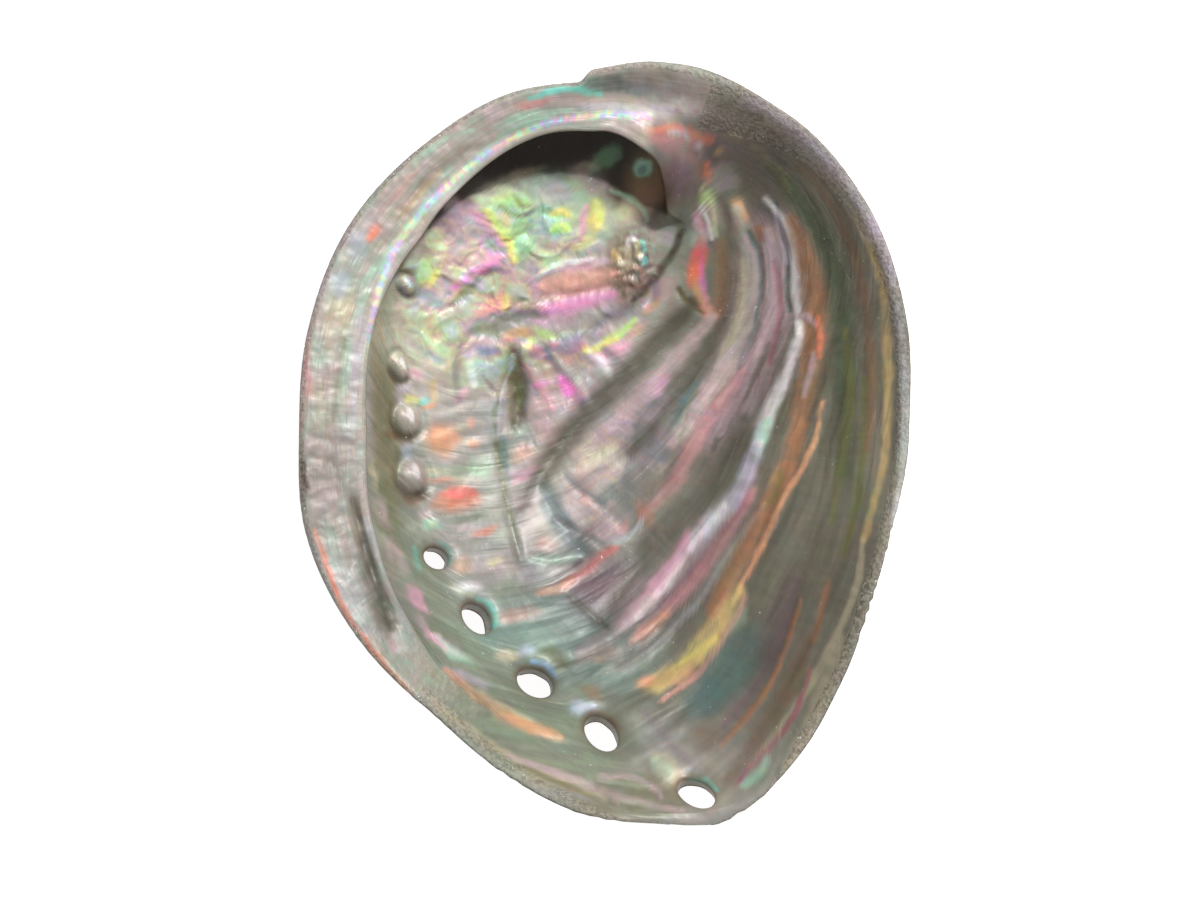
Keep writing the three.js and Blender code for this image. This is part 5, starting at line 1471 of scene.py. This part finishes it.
# Growth grain: noise stretched along the growth lines, a finer one across them, and wider ribs with crisp sides.
def growthGrain():
    group, given, made = newGroup(
        "growthGrain",
        [("Way", "NodeSocketVector", None), ("Fineness", "NodeSocketFloat", 1.0)],
        [("Lines", "NodeSocketFloat"), ("Combing", "NodeSocketFloat"), ("Ribs", "NodeSocketFloat")],
    )
    scaled = group.nodes.new("ShaderNodeVectorMath")
    scaled.operation = "SCALE"
    group.links.new(given["Way"], scaled.inputs[0])
    group.links.new(given["Fineness"], scaled.inputs["Scale"])
    way = scaled.outputs[0]
    group.links.new(noiseNode(group, way, 1.0, 4, (0.09, 1.6, 0.05)), made["Lines"])
    group.links.new(noiseNode(group, way, 1.0, 3, (1.1, 0.22, 0.05)), made["Combing"])
    ribs = noiseNode(group, way, 1.0, 2, (0.07, 0.62, 0.05), 0.3)
    group.links.new(rangeNode(group, ribs, 0.4, 0.6), made["Ribs"])
    return group


# Rainbow shift: the colour times one plus strength times three cosines of the phase, a third of a turn apart.
def pearlHue():
    group, given, made = newGroup(
        "pearlHue",
        [("Color", "NodeSocketColor", None), ("Phase", "NodeSocketFloat", 0.0),
         ("Strength", "NodeSocketFloat", 0.2)],
        [("Color", "NodeSocketColor")],
    )
    join = group.nodes.new("ShaderNodeCombineColor")
    for part in range(3):
        turn = mathNode(group, "MULTIPLY_ADD", given["Phase"], 2 * math.pi, -part * 2 * math.pi / 3)
        wave = mathNode(group, "MULTIPLY", mathNode(group, "COSINE", turn), given["Strength"])
        group.links.new(mathNode(group, "ADD", wave, 1.0), join.inputs[part])
    group.links.new(mixNode(group, "MULTIPLY", 1.0, given["Color"], join.outputs[0]), made["Color"])
    return group


# Chips: small sharp spots where noise in two sizes, plus the amount, rises over a threshold.
def chipMask():
    group, given, made = newGroup(
        "chipMask",
        [("Vector", "NodeSocketVector", None), ("Amount", "NodeSocketFloat", 0.5)],
        [("Mask", "NodeSocketFloat")],
    )
    fine = noiseNode(group, given["Vector"], 1400, 2)
    wide = noiseNode(group, given["Vector"], 140, 2)
    wide = mathNode(group, "MULTIPLY", wide, 0.25)
    both = mathNode(group, "ADD", mathNode(group, "MULTIPLY", fine, 0.75), wide)
    group.links.new(rangeNode(group, mathNode(group, "ADD", both, given["Amount"]), 0.98, 1.04), made["Mask"])
    return group


groups = {make.__name__: make() for make in (growthGrain, satinFolds, pearlHue, chipMask)}


def placeGroup(tree, name, **values):
    node = tree.nodes.new("ShaderNodeGroup")
    node.node_tree = groups[name]
    for socket, value in values.items():
        if isinstance(value, (int, float)):
            node.inputs[socket].default_value = value
        else:
            tree.links.new(value, node.inputs[socket])
    return node.outputs


def attributeNode(tree, name):
    node = tree.nodes.new("ShaderNodeAttribute")
    node.attribute_name = name
    return node.outputs


def bumpNode(tree, height, distance, before=None):
    node = tree.nodes.new("ShaderNodeBump")
    node.inputs["Distance"].default_value = distance
    tree.links.new(height, node.inputs["Height"])
    if before is not None:
        tree.links.new(before, node.inputs["Normal"])
    return node.outputs["Normal"]


pearlFinish = {
    "roughness": (0.38, 0.58), "metallic": 0.14, "coat": 0.06, "coatRoughness": 0.2,
    "bump": 0.00009, "satinSize": 150.0, "satinBump": 0.0016, "mottleSize": 420, "grain": 1.0,
    # how far each pattern turns the rainbow, and the rainbow's own gain and least strength
    "lineHue": 0.9, "satinHue": 1.6, "mottleHue": 0.25, "rainbow": (0.3, 0.03),
    # how much each pattern lightens the pearl, and the levels that keep its mean
    "lineLight": 0.6, "ribLight": 0.22, "lineLevel": -0.41, "satinLight": 0.5, "satinLevel": -0.3,
    "mottleLight": 0.22, "combLight": 0.26, "fineLevel": 0.77,
    "ribHeight": 1.2, "combHeight": 0.3, "mottleHeight": 0.6,
    "chips": {"amount": 0.3, "strength": 0.7, "colour": (0.7, 0.68, 0.62)},
}


def scaledSum(tree, value, factor, base):  # value times factor, plus base
    return mathNode(tree, "MULTIPLY_ADD", value, factor, base)


# What the shell's three materials share: the place on the object, the growth grain and the chips.
def shellMaterial(name, finish):
    material, tree, shader = newMaterial(name)
    place = tree.nodes.new("ShaderNodeTexCoord").outputs["Object"]
    way = attributeNode(tree, "grainWay")["Vector"]
    grain = placeGroup(tree, "growthGrain", Way=way, Fineness=finish["grain"])
    chips = placeGroup(tree, "chipMask", Vector=place, Amount=finish["chips"]["amount"])["Mask"]
    return material, tree, shader, place, grain, chips


# The colour with its chips, a roughness that rises with a noise, and a bump.
def finishShader(tree, shader, finish, colour, chips, noise, height, normal=None):
    chipped = mathNode(tree, "MULTIPLY", chips, finish["chips"]["strength"])
    colour = mixNode(tree, "MIX", chipped, colour, finish["chips"]["colour"])
    tree.links.new(colour, shader.inputs["Base Color"])
    low, high = finish["roughness"]
    tree.links.new(scaledSum(tree, noise, high - low, low), shader.inputs["Roughness"])
    tree.links.new(bumpNode(tree, height, finish["bump"], normal), shader.inputs["Normal"])


def nacreMaterial():
    finish = pearlFinish
    material, tree, shader, place, grain, chips = shellMaterial("nacre", finish)
    folds = placeGroup(tree, "satinFolds", Vector=place, Scale=finish["satinSize"])["Height"]
    split = tree.nodes.new("ShaderNodeSeparateColor")
    painting = attributeNode(tree, "pearlPhase")
    tree.links.new(painting["Color"], split.inputs[0])
    phase, lively, crumpled = split.outputs
    lined = painting["Alpha"]
    satin = mathNode(tree, "MULTIPLY", folds, crumpled)
    mottle = noiseNode(tree, place, finish["mottleSize"], 3)

    # the rainbow
    phase = scaledSum(tree, mathNode(tree, "MULTIPLY", grain["Lines"], lined), finish["lineHue"], phase)
    phase = scaledSum(tree, satin, finish["satinHue"], phase)
    phase = scaledSum(tree, mottle, finish["mottleHue"], phase)
    strength = scaledSum(tree, lively, *finish["rainbow"])
    tint = attributeNode(tree, "pearlTint")["Color"]
    colour = placeGroup(tree, "pearlHue", Color=tint, Phase=phase, Strength=strength)["Color"]

    # light and dark along the grain
    ribs = mathNode(tree, "MULTIPLY", grain["Ribs"], finish["ribLight"])
    shades = scaledSum(tree, grain["Lines"], finish["lineLight"], ribs)
    shades = scaledSum(tree, mathNode(tree, "ADD", shades, finish["lineLevel"]), lined, 1.0)
    shades = scaledSum(tree, crumpled, finish["satinLevel"], shades)
    shades = scaledSum(tree, satin, finish["satinLight"], shades)
    fine = scaledSum(tree, grain["Combing"], finish["combLight"], finish["fineLevel"])
    fine = scaledSum(tree, mottle, finish["mottleLight"], fine)
    light = mathNode(tree, "MULTIPLY", shades, fine)
    shade = tree.nodes.new("ShaderNodeCombineColor")
    for socket in shade.inputs:
        tree.links.new(light, socket)
    colour = mixNode(tree, "MULTIPLY", 1.0, colour, shade.outputs[0])

    shader.inputs["Metallic"].default_value = finish["metallic"]
    shader.inputs["Coat Weight"].default_value = finish["coat"]
    shader.inputs["Coat Roughness"].default_value = finish["coatRoughness"]
    height = scaledSum(tree, grain["Ribs"], finish["ribHeight"], grain["Lines"])
    combing = mathNode(tree, "MULTIPLY", grain["Combing"], finish["combHeight"])
    height = scaledSum(tree, mottle, finish["mottleHeight"], scaledSum(tree, height, lined, combing))
    normal = bumpNode(tree, satin, finish["satinBump"])
    finishShader(tree, shader, finish, colour, chips, mottle, height, normal)
    return material


outsideFinish = {
    "dark": (0.075, 0.042, 0.03), "middle": (0.19, 0.1, 0.07), "pale": (0.36, 0.3, 0.24),
    "green": (0.1, 0.11, 0.07), "paleStrength": 0.8, "patchSize": 70, "spotSize": 320, "grain": 0.6,
    "roughness": (0.7, 0.95), "bump": 0.0005, "spotHeight": 0.9, "combHeight": 0.5,
    "chips": {"amount": 0.36, "strength": 0.6, "colour": (0.5, 0.46, 0.4)},
}


def outsideMaterial():
    finish = outsideFinish
    material, tree, shader, place, grain, chips = shellMaterial("outerCrust", finish)
    patches = noiseNode(tree, place, finish["patchSize"], 4)
    spots = noiseNode(tree, place, finish["spotSize"], 5)
    colour = mixNode(tree, "MIX", rangeNode(tree, grain["Lines"], 0.35, 0.62), finish["dark"], finish["middle"])
    colour = mixNode(tree, "MIX", rangeNode(tree, patches, 0.5, 0.64, 0, 0.7), colour, finish["green"])
    crust = mathNode(tree, "MULTIPLY", rangeNode(tree, spots, 0.46, 0.7), rangeNode(tree, patches, 0.6, 0.36))
    crust = mathNode(tree, "MULTIPLY", crust, finish["paleStrength"])
    colour = mixNode(tree, "MIX", crust, colour, finish["pale"])
    height = mathNode(tree, "ADD", grain["Lines"], mathNode(tree, "MULTIPLY", spots, finish["spotHeight"]))
    height = mathNode(tree, "ADD", height, mathNode(tree, "MULTIPLY", grain["Combing"], finish["combHeight"]))
    finishShader(tree, shader, finish, colour, chips, spots, height)
    return material


edgeFinish = {
    "dark": (0.1, 0.075, 0.055), "pale": (0.36, 0.32, 0.26), "speckleSize": 1300, "grain": 2.0,
    "roughness": (0.4, 0.75), "bump": 0.0003, "chipHeight": -0.6,
    "chips": {"amount": 0.37, "strength": 0.8, "colour": (0.7, 0.67, 0.62)},
}


def edgeMaterial():
    finish = edgeFinish
    material, tree, shader, place, grain, chips = shellMaterial("lipEdge", finish)
    speckle = noiseNode(tree, place, finish["speckleSize"], 3)
    colour = mixNode(tree, "MIX", rangeNode(tree, speckle, 0.42, 0.6), finish["dark"], finish["pale"])
    tint = attributeNode(tree, "pearlTint")["Color"]
    colour = mixNode(tree, "MIX", rangeNode(tree, grain["Lines"], 0.3, 0.6, 0.4, 0.75), colour, tint)
    height = mathNode(tree, "ADD", speckle, mathNode(tree, "MULTIPLY", chips, finish["chipHeight"]))
    finishShader(tree, shader, finish, colour, chips, speckle, height)
    return material


for material in (nacreMaterial(), outsideMaterial(), edgeMaterial()):
    shell.data.materials.append(material)


# Material 0 is the nacre, 1 the outer crust, 2 the edge: the rim's first rows, more of them on the thin lip, and
# the faces of the outside that touch them.
def faceSlots(faces):
    zone, step = skin["zone"][faces].min(1), skin["step"][faces]
    first, last = step.min(1), step.max(1)
    thinLip = around(shellShape["shelfBlend"], skin["angle"][faces[:, 0]]) < 0.5
    onRim = (first >= 0) & (first < np.where(thinLip, 0.4, 0.06))
    touching = (zone == 0) & (first < 0) & (last >= 0)
    return np.where(onRim | touching, 2, np.where(zone == 0, 1, 0))


slots = np.concatenate([faceSlots(skin["faces"]), faceSlots(skin["wedges"])])
shell.data.polygons.foreach_set("material_index", slots.astype(np.int32))
print("materials ready")


# The floor, the light and the camera, which looks straight down as the photograph does.
studio = {
    "tableColour": (0.5, 0.5, 0.5),
    "tableGlow": 0.85,  # a white light table, as nothing in the photograph shows a shadow under the shell
    "keyLight": {"place": (208, 312, 517), "size": 42, "power": 3.7},
    "world": 0.42,
}


def tableMaterial():
    material, tree, shader = newMaterial("paleTable")
    shader.inputs["Base Color"].default_value = (*studio["tableColour"], 1)
    shader.inputs["Roughness"].default_value = 0.6
    shader.inputs["Emission Color"].default_value = (1, 1, 1, 1)
    shader.inputs["Emission Strength"].default_value = studio["tableGlow"]
    return material


def buildStudio():
    bpy.ops.mesh.primitive_plane_add(size=6, location=(0, 0, 0))
    ground = bpy.context.object
    ground.name = "tableTop"
    ground.data.materials.append(tableMaterial())
    world = bpy.data.worlds.new("softRoom")
    world.use_nodes = True
    world.node_tree.nodes["Background"].inputs[0].default_value = (1, 1, 1, 1)
    world.node_tree.nodes["Background"].inputs[1].default_value = studio["world"]
    bpy.context.scene.world = world
    key = studio["keyLight"]
    lamp = bpy.data.lights.new("keyLight", "AREA")
    lamp.size = key["size"] * 0.001
    lamp.energy = key["power"]
    lampObject = bpy.data.objects.new("keyLight", lamp)
    lampObject.location = [v * 0.001 for v in key["place"]]
    bpy.context.scene.collection.objects.link(lampObject)
    x, y, z = key["place"]
    lampObject.rotation_euler = (math.atan2(math.hypot(x, y), z), 0, math.atan2(y, x) + math.pi / 2)
    camera = bpy.data.cameras.new("overhead")
    camera.sensor_width = 36
    wide = photoView["frame"][0] * photoView["mmPerPixel"]
    camera.lens = 36 * photoView["distance"] / wide
    cameraObject = bpy.data.objects.new("overhead", camera)
    cameraObject.location = (photoView["centre"][0] * 0.001, photoView["centre"][1] * 0.001,
                             (photoView["rimLevel"] + photoView["distance"]) * 0.001)
    bpy.context.scene.collection.objects.link(cameraObject)
    bpy.context.scene.camera = cameraObject
    bpy.context.scene.view_settings.view_transform = "Standard"


buildStudio()
print("studio ready")
